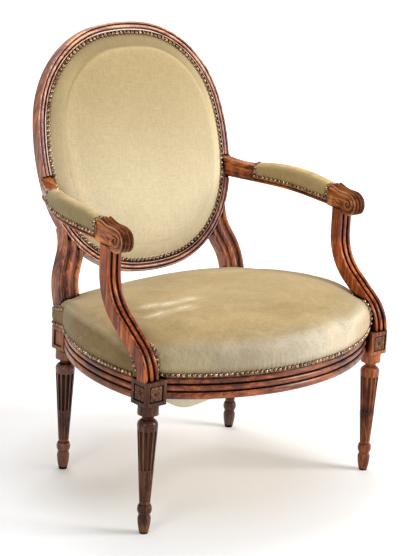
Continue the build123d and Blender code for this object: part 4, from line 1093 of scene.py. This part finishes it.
def drawnPoints(piece):
    return np.array([v.co for v in piece.data.vertices]) * 1000 - np.array([0, chair["shiftBack"], 0])


def nailedPoints(piece, held):
    return [i for i, spot in enumerate(drawnPoints(piece)) if held(spot)]


def creasePoints():
    # the back pad's crease between its border and its middle, where it is sharp
    points, _ = ovalPath(0, backPad["step"])
    first, last = backPad["creaseRings"]
    sharp = np.flatnonzero(creaseFade(points[:, 0], points[:, 1]) < 0.4)
    return [ring * len(points) + i for ring in range(first + 1, last + 2) for i in sharp]


def seatCalm():
    # the seat swells less beside the uprights, where its cover is pulled in
    points = drawnPoints(seatCushion)
    return 0.92 * blend(-40, 105, points[:, 1]) * blend(190, 235, np.abs(points[:, 0]))


def heldBack(spot):
    # the turned-in edge and what lies outside the oval
    across = spot[0] / (oval["halfWidth"] - 2.5)
    return heightOut(spot) < 2.75 or math.hypot(across, heightUp(spot) / (oval["halfHeight"] - 2.5)) > 1


def heldPad(spot):
    tilt = math.radians(chair["armTilt"])
    up = -(spot[1] - chair["scrollY"]) * math.sin(tilt) + (spot[2] - chair["scrollHeight"]) * math.cos(tilt)
    return up < 2.0 or abs(up - armPad["armTop"]) < 0.01


plump(seatCushion, nailedPoints(seatCushion, lambda spot: spot[2] < seat["nailHeight"] + 3), 1.5, 0.010,
      seat["points"], seatCalm())
plump(backCushion, nailedPoints(backCushion, heldBack) + creasePoints(), 1.5, 0.006,
      len(ovalPath(0, backPad["step"])[0]))
for pad in armPads:
    plump(pad, nailedPoints(pad, heldPad), 2.0, 0.0025)
print("cushions formed")


# room in the seat for the stumps and uprights

stumpShape = {
    "start": (-258.6, 331.0),
    "lowRadius": 87.0,
    "lean": 52.5,
    "slant": 75.6,
    "depth": 28.0,
    "roomFront": -420.0,
    "roomFoot": 300.0,
    "roomSide": 420.0,
}
uprightShape = {
    "foot": (238.5, -430.0),
    "half": 27.0,
    "moves": [(130.0, 0), (130.0, 25), (26.0, 0), (110.0, -25), (24.0, 0)],
    "faces": (-24.6, 5.2),
}


def stumpBack(clearance):
    # the rear line of the arm stump, from the block upwards
    y, z = stumpShape["start"]
    radius, lean = stumpShape["lowRadius"], math.radians(stumpShape["lean"])
    reach = stumpShape["depth"] + clearance
    points = []
    for a, slant in [(lean * k / 12, 0.0) for k in range(13)] + [(lean, stumpShape["slant"])]:
        front = y + radius * (1 - math.cos(a)) + slant * math.sin(a)
        rise = z + radius * math.sin(a) + slant * math.cos(a)
        points.append((front + reach * math.cos(a), rise - reach * math.sin(a)))
    return points


def prism(name, outline, low, high, place):
    # an outline carried between two levels, for cutting
    count = len(outline)
    points = [place(a, b, low) for a, b in outline] + [place(a, b, high) for a, b in outline]
    faces = [tuple(range(count))[::-1], tuple(range(count, 2 * count))]
    faces += [(i, (i + 1) % count, count + (i + 1) % count, count + i) for i in range(count)]
    return outwards(newMesh(name, put(points), faces))


def uprightOutline(clearance):
    # the upright's outline in the back's plane: straight stretches and bends in turn
    half = uprightShape["half"] + clearance
    heading, (x, v) = math.pi / 2, uprightShape["foot"]
    left, right = [(x - half, v)], [(x + half, v)]
    for size, turn in uprightShape["moves"]:
        steps = 8 if turn else 2
        bend = math.radians(turn) / steps
        chord = 2 * size * math.sin(abs(bend) / 2) if turn else size / steps
        for _ in range(steps):
            heading += bend / 2
            x, v = x + chord * math.cos(heading), v + chord * math.sin(heading)
            heading += bend / 2
            side = (-math.sin(heading), math.cos(heading))
            left.append((x + side[0] * half, v + side[1] * half))
            right.append((x - side[0] * half, v - side[1] * half))
    return right + left[::-1]


def cutAway(piece, cutters):
    for cutter in cutters:
        cut = piece.modifiers.new("cut", "BOOLEAN")
        cut.operation, cut.solver, cut.object = "DIFFERENCE", "EXACT", cutter
        settled = bpy.data.meshes.new_from_object(evaluated(piece))
        piece.modifiers.clear()
        piece.data = settled
        bpy.data.objects.remove(cutter)
    piece.data.polygons.foreach_set("use_smooth", [True] * len(piece.data.polygons))
    return piece


cutters = []
room, foot, farFront = chair["room"], stumpShape["roomFoot"], stumpShape["roomFront"]
rear = stumpBack(room)
stumpRoom = [(farFront, foot), (rear[0][0], foot)] + rear + [(farFront, rear[-1][1])]
for side in (-1, 1):
    levels = sorted((side * (chair["stumpX"] - chair["stumpHalf"] - room), side * stumpShape["roomSide"]))
    cutters.append(prism("stumpRoom", stumpRoom, *levels, lambda y, z, x: (x, y, z)))
    cutters.append(prism("uprightRoom", [(side * u, v) for u, v in uprightOutline(room)],
                         *uprightShape["faces"], backPoints))
cutAway(seatCushion, cutters)


def shadePiece(piece, shades, smears=0.0):
    # painted shade and light of an old cover, point by point, with its dirt and rubbed streaks
    count = len(piece.data.vertices)
    shade = piece.data.attributes.new("shade", "FLOAT_COLOR", "POINT")
    colours = np.ones((count, 4), np.float32)
    colours[:, :3] = shades
    shade.data.foreach_set("color", colours.ravel())
    smear = piece.data.attributes.new("smear", "FLOAT", "POINT")
    smear.data.foreach_set("value", np.zeros(count, np.float32) + smears)


seatMarks = {
    "spots": [(-206.9, -98.0), (-166.6, -114.2), (-111.5, -113.2), (-158.3, -153.4), (-224.4, -146.5)],
    "long": 24.0,
    "wide": 11.0,
    "heading": -8.0,
    "strength": 0.85,
    "lowest": 395.0,
    # dirt and painted shade above the nails and round the stumps
    "dirtAndShade": (0.70, 0.64, 0.54),
    "dirtAndShadeHeight": (3, 16),
    "stump": (322, -215),
    "stumpDirtAndShade": (30, 75),
}
backMarks = {
    "heights": (-215, 215),
    "border": (30.0, 37.0),
    "corner": (-165, 160),
    "cornerSize": (70, 80),
}


def shadeSeat():
    # rubbed streaks on the left; dirt and painted shade above the nails and round the stumps
    x, y, z = drawnPoints(seatCushion).T
    turn = math.radians(seatMarks["heading"])
    smears = np.zeros(len(x))
    for a, b in seatMarks["spots"]:
        along = (x - a) * math.cos(turn) + (y - b) * math.sin(turn)
        beside = -(x - a) * math.sin(turn) + (y - b) * math.cos(turn)
        smears += np.exp(-(along / seatMarks["long"]) ** 2 - (beside / seatMarks["wide"]) ** 2)
    smears = np.clip(smears, 0, 1) * seatMarks["strength"] * (z > seatMarks["lowest"])
    stump = np.hypot(np.abs(x) - seatMarks["stump"][0], y - seatMarks["stump"][1])
    dirtAndShade = np.maximum(1 - blend(*seatMarks["dirtAndShadeHeight"], z - seat["nailHeight"]),
                      0.7 * (1 - blend(*seatMarks["stumpDirtAndShade"], stump)))
    shadePiece(seatCushion, 1 - dirtAndShade[:, None] * (1 - np.array(seatMarks["dirtAndShade"])), smears)


def shadeBack():
    # painted shade towards the top and on the border, painted light low down, along the plateau's edge and
    # where the border catches the light
    points = drawnPoints(backCushion)
    u, v = points[:, 0], heightUp(points)
    edge, _ = ovalPath(0, 2.0)
    inside = np.array([np.min(np.hypot(*(edge - spot).T)) for spot in np.column_stack([u, v])])
    height = blend(*backMarks["heights"], v)[:, None]
    shades = np.array(backPad["lowShade"]) * (1 - height) + np.array(backPad["topShade"]) * height
    border = 1 - blend(*backMarks["border"], inside)
    borderShadeShare = border * (0.1 + 0.9 * blend(0, 230, v))
    shades *= 1 - borderShadeShare[:, None] * (1 - np.array(backPad["borderShade"]))
    (x, y), (wide, high) = backMarks["corner"], backMarks["cornerSize"]
    corner = np.exp(-((u - x) / wide) ** 2 - ((v - y) / high) ** 2)
    # painted light on the right border and in the top left corner
    shades *= (1 + border * (0.25 * blend(90, 220, u) + 0.35 * corner))[:, None]
    # a painted highlight along the plateau's edge and down the left rise
    plateauEdgeHighlight = 0.12 * np.exp(-((inside - 37.5) / 4.0) ** 2) * blend(-150, 200, v)
    plateauEdgeHighlight += 0.12 * np.exp(-((inside - 44.0) / 12.0) ** 2) * blend(-110, -180, u) * (1 - blend(60, 190, v))
    shadePiece(backCushion, shades * (1 + plateauEdgeHighlight)[:, None])


shadeSeat()
shadeBack()
shadePiece(armPads[0], (1.0, 1.0, 1.0))
# the right pad is painted lighter, as painted light from the right
shadePiece(armPads[1], (1.22, 1.18, 1.14))
finishPiece(seatCushion, "olive_velvet", "seat_cover", "seat_stuffing")
finishPiece(backCushion, "olive_velvet", "back_cover_front", "back_stuffing")
for pad, word in zip(armPads, ("left", "right")):
    finishPiece(pad, "olive_velvet", "arm_pad_cover_" + word, "arm_pad_stuffing_" + word)
print("cushions fitted")

# brass nails, one tree for all of them

nails = {"pitch": 10.9, "diameter": 9.7, "rise": 4.9, "seed": 7, "tilt": 0.12}


def nailTree():
    # a dome on each place, turned to its "nailWay" and leaned a little at random
    tree = bpy.data.node_groups.new("brassNailRow", "GeometryNodeTree")
    sockets = {}
    tree.interface.new_socket(name="Places", in_out="INPUT", socket_type="NodeSocketGeometry")
    for title, kind in (("Diameter", "Float"), ("Rise", "Float"), ("Tilt", "Float"), ("Seed", "Int"),
                        ("Finish", "Material")):
        socket = tree.interface.new_socket(name=title, in_out="INPUT", socket_type="NodeSocket" + kind)
        sockets[title] = socket.identifier
    tree.interface.new_socket(name="Nails", in_out="OUTPUT", socket_type="NodeSocketGeometry")
    given = addNode(tree, "NodeGroupInput").outputs
    ball = addFirst(tree, "GeometryNodeMeshUVSphere", {"Segments": 12, "Rings": 8, "Radius": 0.5})
    spot = addFirst(tree, "GeometryNodeInputPosition")
    height = addNode(tree, "ShaderNodeSeparateXYZ", {0: spot}).outputs[2]
    under = addFirst(tree, "FunctionNodeCompare", {0: height, 1: -0.02}, operation="LESS_THAN")
    dome = addFirst(tree, "GeometryNodeDeleteGeometry", {0: ball, 1: under}, domain="POINT")
    width, rise = given["Diameter"], times(tree, given["Rise"], 2.0)
    size = addFirst(tree, "ShaderNodeCombineXYZ", {0: width, 1: width, 2: rise})
    head = addFirst(tree, "GeometryNodeTransform", {0: dome, "Scale": size})
    way = addFirst(tree, "GeometryNodeInputNamedAttribute", {0: "nailWay"}, data_type="FLOAT_VECTOR")
    turn = addFirst(tree, "FunctionNodeAlignRotationToVector", {"Vector": way}, axis="Z")
    limits = [addFirst(tree, "ShaderNodeCombineXYZ", {0: tilt, 1: tilt})
              for tilt in (times(tree, given["Tilt"], -1.0), given["Tilt"])]
    lean = addFirst(tree, "FunctionNodeRandomValue", {0: limits[0], 1: limits[1], "Seed": given["Seed"]},
                    data_type="FLOAT_VECTOR")
    lean = addFirst(tree, "FunctionNodeEulerToRotation", {0: lean})
    leaned = addFirst(tree, "FunctionNodeRotateRotation", {0: turn, 1: lean}, rotation_space="LOCAL")
    placed = addFirst(tree, "GeometryNodeInstanceOnPoints",
                      {"Points": given["Places"], "Instance": head, "Rotation": leaned})
    real = addFirst(tree, "GeometryNodeRealizeInstances", {0: placed})
    smoothed = addFirst(tree, "GeometryNodeSetShadeSmooth", {0: real})
    done = addFirst(tree, "GeometryNodeSetMaterial", {0: smoothed, "Material": given["Finish"]})
    addNode(tree, "NodeGroupOutput", {0: done})
    return tree, sockets


nailRow, nailSockets = nailTree()


def nailPiece(name, places):
    # each place holds a point in millimetres and the direction that its nail's head faces
    places = np.array(places)
    carrier = newMesh(name + "Places", put(places[:, :3]), [])
    attribute = carrier.data.attributes.new("nailWay", "FLOAT_VECTOR", "POINT")
    attribute.data.foreach_set("vector", np.asarray(places[:, 3:], np.float32).ravel())
    modifier = carrier.modifiers.new("nails", "NODES")
    modifier.node_group = nailRow
    modifier[nailSockets["Diameter"]] = nails["diameter"] / 1000
    modifier[nailSockets["Rise"]] = nails["rise"] / 1000
    modifier[nailSockets["Tilt"]] = nails["tilt"]
    modifier[nailSockets["Seed"]] = nails["seed"]
    modifier[nailSockets["Finish"]] = brass
    settled = bpy.data.meshes.new_from_object(evaluated(carrier))
    bpy.data.objects.remove(carrier)
    piece = linkNew(name, settled)
    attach(piece, "root")


def spaced(points, closed=False):
    # indices of a dense line's points that are a nail's pitch apart
    points = np.asarray(points, float)
    if closed:
        points = np.vstack([points, points[:1]])
    walked = walkedAlong(points)
    count = max(2, round(walked[-1] / nails["pitch"]))
    wanted = np.linspace(0, walked[-1], count + 1)[:-1] if closed else np.linspace(0, walked[-1], count + 1)
    return np.searchsorted(walked, wanted).clip(0, len(points) - (2 if closed else 1))


def ovalNails(name, height, forward):
    points, _ = ovalPath(0, 0.5)
    flat = points[spaced(points, True)]
    places = backPoints(flat[:, 0], flat[:, 1], height)
    way = backPoints(0, 0, forward) - backPoints(0, 0, 0)
    nailPiece(name, np.hstack([places, np.repeat(way[None], len(places), 0)]))


ovalNails("backNails", 2.5, 1.0)
ovalNails("backRearNails", -26.6, -1.0)


def seatNails():
    # one row along the front rail and one along each side and the back
    outline, normal = seatOutline()
    count = 6000
    fine = np.linspace(0, len(outline), count, endpoint=False)
    index = np.arange(len(outline) + 1)
    closed = np.column_stack([outline, normal])
    closed = np.vstack([closed, closed[:1]])
    line = np.column_stack([np.interp(fine, index, column) for column in closed.T])
    line = np.roll(line, -count // 4, 0)
    x, y = line[:, 0], line[:, 1]
    surface = surfaceOf(seatCushion)
    places = []
    for chosen in ((np.abs(x) < 301.0) & (y < -150), (x > 0) & (y > -207), (x < 0) & (y > -207)):
        stretch = np.flatnonzero(chosen)
        gaps = np.flatnonzero(np.diff(stretch) > 1)
        if stretch[0] == 0 and stretch[-1] == count - 1 and len(gaps):
            stretch = np.concatenate([stretch[gaps[0] + 1:], stretch[:gaps[0] + 1]])
        for spot in line[stretch][spaced(line[stretch, :2])]:
            height = seat["nailHeight"] + random.uniform(-0.4, 0.4)
            outer, inner = spot[:2] + spot[2:] * 40, spot[:2] - spot[2:] * 40
            found = touch(surface, (*outer, height), (*inner, height))
            if found is not None:
                places.append(found)
    nailPiece("seatNails", places)


climbing = {
    "stumpInner": 5.4,
    "stumpRear": 5.6,
    "centre": (-214, 352),
    "far": 120,
    "top": 404,
    "frontNails": 6,
    "rearNails": 8,
    "uprightX": 268.5,
    "uprightRows": (124.0, 163.0),
    "belowEdge": 4.5,
}


def climb(surface, lines, count):
    # nails that climb a cushion beside a post, from above the seat's row upwards
    line = np.array([found for found in (touch(surface, a, b) for a, b in lines) if found is not None])
    line = line[line[:, 2] > seat["nailHeight"] + nails["pitch"] - 0.5]
    walked = walkedAlong(line[:, :3])
    picks = [int(np.searchsorted(walked, nails["pitch"] * k)) for k in range(count)]
    return [line[p] for p in picks if p < len(line)]


def stumpNails():
    surface = surfaceOf(seatCushion)
    rearPlaces, rearHeights = np.array(stumpBack(0.0)).T
    middleY, middleZ = climbing["centre"]
    far = climbing["far"]
    places = []
    for side in (-1, 1):
        x = side * (chair["stumpX"] - chair["stumpHalf"] - climbing["stumpInner"])
        lines = []
        for angle in np.radians(np.linspace(-8, 80, 240)):
            start = (x, middleY - far * math.cos(angle), middleZ + far * math.sin(angle))
            lines.append((start, (x, middleY, middleZ)))
        places += climb(surface, lines, climbing["frontNails"])
        lines = []
        for z in np.linspace(seat["nailHeight"], climbing["top"], 240):
            y = np.interp(z, rearHeights, rearPlaces) + climbing["stumpRear"]
            slant = max(0.0, (z - 366) / 38)
            lines.append(((side * 420, y, z + 60 * slant), (side * (338 - 26 * slant), y, z - 4 * slant)))
        places += climb(surface, lines, climbing["rearNails"])
    nailPiece("stumpNails", places)


def uprightNails():
    # along the velvet's upper edge on the uprights' outer faces
    surface = surfaceOf(seatCushion)
    places = []
    for side in (-1, 1):
        x = side * climbing["uprightX"]
        for y in np.arange(*climbing["uprightRows"], nails["pitch"] * 0.95):
            edge = touch(surface, (x, y, 470), (x, y, 300))
            if edge is not None and edge[2] > seat["nailHeight"] + 12:
                height = edge[2] - climbing["belowEdge"]
                found = touch(surface, (side * 400, y, height), (side * 200, y, height))
                if found is not None:
                    places.append(found)
    nailPiece("uprightNails", places)


def padNails():
    # along both sides and over both ends of the right pad, and the same mirrored
    surface = surfaceOf(armPads[1])
    front, rear = armPad["front"] + 5, padLength() - 5
    rows = []
    for edge in (-1, 1):
        outer, inner = edge * (armPad["half"] + 30), edge * (armPad["half"] - 10)
        rows.append([touch(surface, armAcross(s, outer, -0.4), armAcross(s, inner, -0.4))
                     for s in np.arange(front, rear, 0.5)])
    for station in (front, rear):
        x, along, _ = armLine(station)
        row = [touch(surface, armAcross(station, 70 * math.cos(angle), 8 + 70 * math.sin(angle)),
                     armPoints(x, along, 8.0)) for angle in np.radians(np.linspace(4, 176, 260))]
        rows.append([found for found in row if found is not None])
    places = np.vstack([np.array(row)[spaced(np.array(row)[:, :3])] for row in rows])
    nailPiece("padNails", np.vstack([places, places * np.array([-1, 1, 1, -1, 1, 1])]))


random.seed(3)
seatNails()
stumpNails()
uprightNails()
padNails()
print("nails driven")

# webbing, canvas and cloths

sheets = {
    "webWidth": 55.0,
    "seatWebs": (350.1, 351.5, 351.8, 353.2),
    "backWebs": (-4.2, -2.8, -2.5, -1.1),
    "sag": 16.0,
    "flap": 30.0,
    "flapPlace": (-226, -240),
    "flapSize": (46, 60),
    "rearHeight": -24.4,
    "bottomHeight": 285.6,
    "bottomThick": 0.5,
}


def slab(name, outline, low, high, material, place):
    piece = prism(name, outline, low, high, place)
    piece.data.materials.append(material)
    piece.data.polygons.foreach_set("use_smooth", [False] * len(piece.data.polygons))
    return piece


def upSeat(a, b, c):
    return (a, b, c)


def strap(x, y, halfWidth, halfLength, low, high, place):
    outline = [(x - halfWidth, y - halfLength), (x + halfWidth, y - halfLength),
               (x + halfWidth, y + halfLength), (x - halfWidth, y + halfLength)]
    return slab("strap", outline, low, high, jute, place)


def seatStraps():
    pieces = []
    half = sheets["webWidth"] / 2
    low, high, upperLow, upperHigh = sheets["seatWebs"]
    for number in range(5):
        x = (number - 2) * 78.0
        front = chair["frontBowY"] - math.sqrt((chair["frontBowRadius"] - 5) ** 2 - x ** 2) + 2
        pieces.append(strap(x, (front + 157.0) / 2, half, (157.0 - front) / 2, low, high, upSeat))
    for number in range(4):
        y = -70 + (number - 1.5) * 74.0
        bow = (chair["sideBowRadius"] - 6) ** 2 - (abs(y - chair["sideBowY"]) + half) ** 2
        pieces.append(strap(0, y, chair["sideBowX"] + math.sqrt(bow), half, upperLow, upperHigh, upSeat))
    return join("seatStraps", pieces)


def backStraps():
    pieces = []
    half = sheets["webWidth"] / 2
    low, high, upperLow, upperHigh = sheets["backWebs"]
    outline, _ = ovalPath(-7, 4.0)
    for number in range(4):
        u = (number - 1.5) * 86.0
        reach = min(abs(y) for x, y in outline if abs(x - u) < half + 4)
        pieces.append(strap(u, 0, half, reach, low, high, backPoints))
    for number in range(5):
        v = (number - 2) * 86.0
        reach = min(abs(x) for x, y in outline if abs(y - v) < half + 4)
        pieces.append(strap(0, v, reach, half, upperLow, upperHigh, backPoints))
    return join("backStraps", pieces)


finishPiece(seatStraps(), "webbing", "seat_webbing")
finishPiece(backStraps(), "webbing", "back_webbing")
outline, normal = seatOutline()
canvasLine = [p for p in (outline - normal * 9)[::4] if not (abs(p[0]) > 205 and p[1] > 112)]
seatCanvas = slab("seatCanvas", canvasLine, 353.6, 354.3, hessian, upSeat)
finishPiece(seatCanvas, "canvas", "seat_canvas")
ovalLine, _ = ovalPath(-6, 8.0)
backCanvas = slab("backCanvas", ovalLine, -0.7, 0.0, hessian, backPoints)
finishPiece(backCanvas, "canvas", "back_canvas")


def rearCloth():
    points, ways = ovalPath(0, 8.0)
    height = sheets["rearHeight"]
    flat = points + ways * 3.0
    rings = [(flat * (1 - step / 10.0), height - 0.3 * step / 10) for step in range(9, -1, -1)]
    for offset, back in ((3.4, 0.0), (3.8, 0.8), (3.2, 1.6), (0, 1.9), (-6, 1.6), (-14, 1.5)):
        rings.append((points + ways * offset, height - back))
    flat, height = rings[-1]
    rings += [(flat * (1 - step / 10.0), height - 0.3 * step / 10) for step in range(1, 10)]
    rings = [backPoints(spots[:, 0], spots[:, 1], level) for spots, level in rings]
    return ringsMesh("backRearCloth", put(np.array(rings)), backVelvet)


def bottomCloth():
    outline, normal = seatOutline()
    outline = outline - normal * 12
    x, y = np.abs(outline[:, 0]), outline[:, 1]
    # the corners are left free for the blocks
    edge = outline[((x < 288) | ((y > -208) & (y < 115))) & ((x < 218) | (y < 115))][::3]
    middle = np.array([-20.0, -60.0])
    upper = []
    for step in range(24):
        share = (1 - step / 24.0) ** 0.8
        spot = middle + (edge - middle) * share
        flap = np.exp(-np.sum(((spot - sheets["flapPlace"]) / sheets["flapSize"]) ** 2, 1))
        drop = sheets["sag"] * (1 - share ** 2.2) + sheets["flap"] * flap * (1 - share ** 24)
        wave = dents(spot, 2.0, 55, 1.2) * (1 - share ** 6)
        upper.append(np.column_stack([spot, sheets["bottomHeight"] - drop + wave]))
    lower = [ring - np.array([0, 0, sheets["bottomThick"]]) for ring in upper]
    return ringsMesh("seatBottomCloth", put(np.array(upper[::-1] + lower)), creamCloth)


rearVelvet = finishPiece(outwards(rearCloth()), "olive_velvet", "back_cover_rear")
shadePiece(rearVelvet, (0.72, 0.66, 0.56))
bottom = finishPiece(outwards(bottomCloth()), "cream_cloth", "seat_bottom_cloth")
print("cloths hung")

# floor, light and camera

studio = {
    "lens": 115.36,
    "azimuth": -40.8024,
    "elevation": 15.3297,
    "roll": 2.6286,
    "distance": 3.9139,
    "target": (0.0245, 0.0169, 0.4343),
    "floorReach": 12.0,
    "floorGrey": 0.86,
    "floorGlow": 0.16,
    "underShadowGrey": (0.85, 0.82, 0.79),
    "worldLight": 0.42,
}
lamps = [
    ("rightLight", (2.2, -2.3, 1.9), (0, 0, 0.5), 1.3, 92),
    ("leftLight", (-2.9, -1.2, 1.8), (0, 0, 0.5), 1.2, 26),
    ("topLight", (0.5, 0.9, 3.0), (0, 0, 0.4), 1.5, 44),
]


def seenDirectly(tree, glossyShare):
    # 1 for what the camera sees itself or through glass, glossyShare for what it sees in a shine
    seen = addNode(tree, "ShaderNodeLightPath").outputs
    direct = plus(tree, seen["Is Camera Ray"], times(tree, seen["Is Glossy Ray"], glossyShare))
    return plus(tree, direct, seen["Is Transmission Ray"], True)


def buildFloor():
    # near white, and it glows by itself so that only the chair's shadow shows; under the chair it is greyed
    # and glows less, a painted shadow
    material, tree, shader, place = startMaterial("paleFloor")
    far = addNode(tree, "ShaderNodeVectorMath", {0: place}, operation="LENGTH").outputs["Value"]
    fillInputs(tree, shader, {
        "Base Color": addRamp(tree, far, (0.2, studio["underShadowGrey"]), (0.44, studio["floorGrey"])),
        "Roughness": 0.9,
        "Specular IOR Level": 0.1,
    })
    # less glow near the chair, a painted shadow under it
    near = addSpan(tree, far, 0.22, 0.44, 0.0, studio["floorGlow"])
    rising = addSpan(tree, far, 0.9, 3.0, 0.0, 1.0 - studio["floorGlow"])
    glow = addFirst(tree, "ShaderNodeEmission", {"Color": (1, 1, 1, 1), "Strength": plus(tree, near, rising)})
    both = addFirst(tree, "ShaderNodeAddShader", {0: shader.outputs[0], 1: glow})
    pick = addFirst(tree, "ShaderNodeMixShader", {0: seenDirectly(tree, 1.0), 1: shader.outputs[0], 2: both})
    output = next(n for n in tree.nodes if n.type == "OUTPUT_MATERIAL")
    tree.links.new(pick, output.inputs[0])
    reach = studio["floorReach"]
    corners = [(-reach, -reach, 0), (reach, -reach, 0), (reach, reach, 0), (-reach, reach, 0)]
    floor = newMesh("studioFloor", corners, [(0, 1, 2, 3)], material, False)


def buildWorld():
    world = bpy.data.worlds.new("studioAir")
    bpy.context.scene.world = world
    world.use_nodes = True
    tree = world.node_tree
    tree.nodes.clear()
    strength = addSpan(tree, seenDirectly(tree, 0.35), 0.0, 1.0, studio["worldLight"], 1.0)
    air = addFirst(tree, "ShaderNodeBackground", {"Color": (1, 1, 1, 1), "Strength": strength})
    addNode(tree, "ShaderNodeOutputWorld", {0: air})


def addLamp(name, spot, aim, size, power):
    data = bpy.data.lights.new(name, "AREA")
    data.shape, data.size, data.energy = "SQUARE", size, power
    lamp = linkNew(name, data)
    lamp.location = spot
    lamp.rotation_euler = (Vector(aim) - Vector(spot)).to_track_quat("-Z", "Y").to_euler()


def buildCamera():
    azimuth, elevation = math.radians(studio["azimuth"]), math.radians(studio["elevation"])
    back = Vector((math.sin(azimuth) * math.cos(elevation), -math.cos(azimuth) * math.cos(elevation),
                   math.sin(elevation)))
    data = bpy.data.cameras.new("photoCamera")
    data.sensor_fit = "VERTICAL"
    data.sensor_height = 36.0
    data.lens = studio["lens"]
    camera = linkNew("photoCamera", data)
    camera.location = Vector(studio["target"]) + back * studio["distance"]
    right = (-back).cross(Vector((0, 0, 1))).normalized()
    up = right.cross(-back)
    roll = math.radians(studio["roll"])
    turnedRight = right * math.cos(roll) + up * math.sin(roll)
    turnedUp = -right * math.sin(roll) + up * math.cos(roll)
    camera.rotation_euler = Matrix((turnedRight, turnedUp, back)).transposed().to_euler()
    bpy.context.scene.camera = camera


buildFloor()
buildWorld()
for lamp in lamps:
    addLamp(*lamp)
buildCamera()
bpy.context.scene.view_settings.view_transform = "Standard"
print("studio ready")
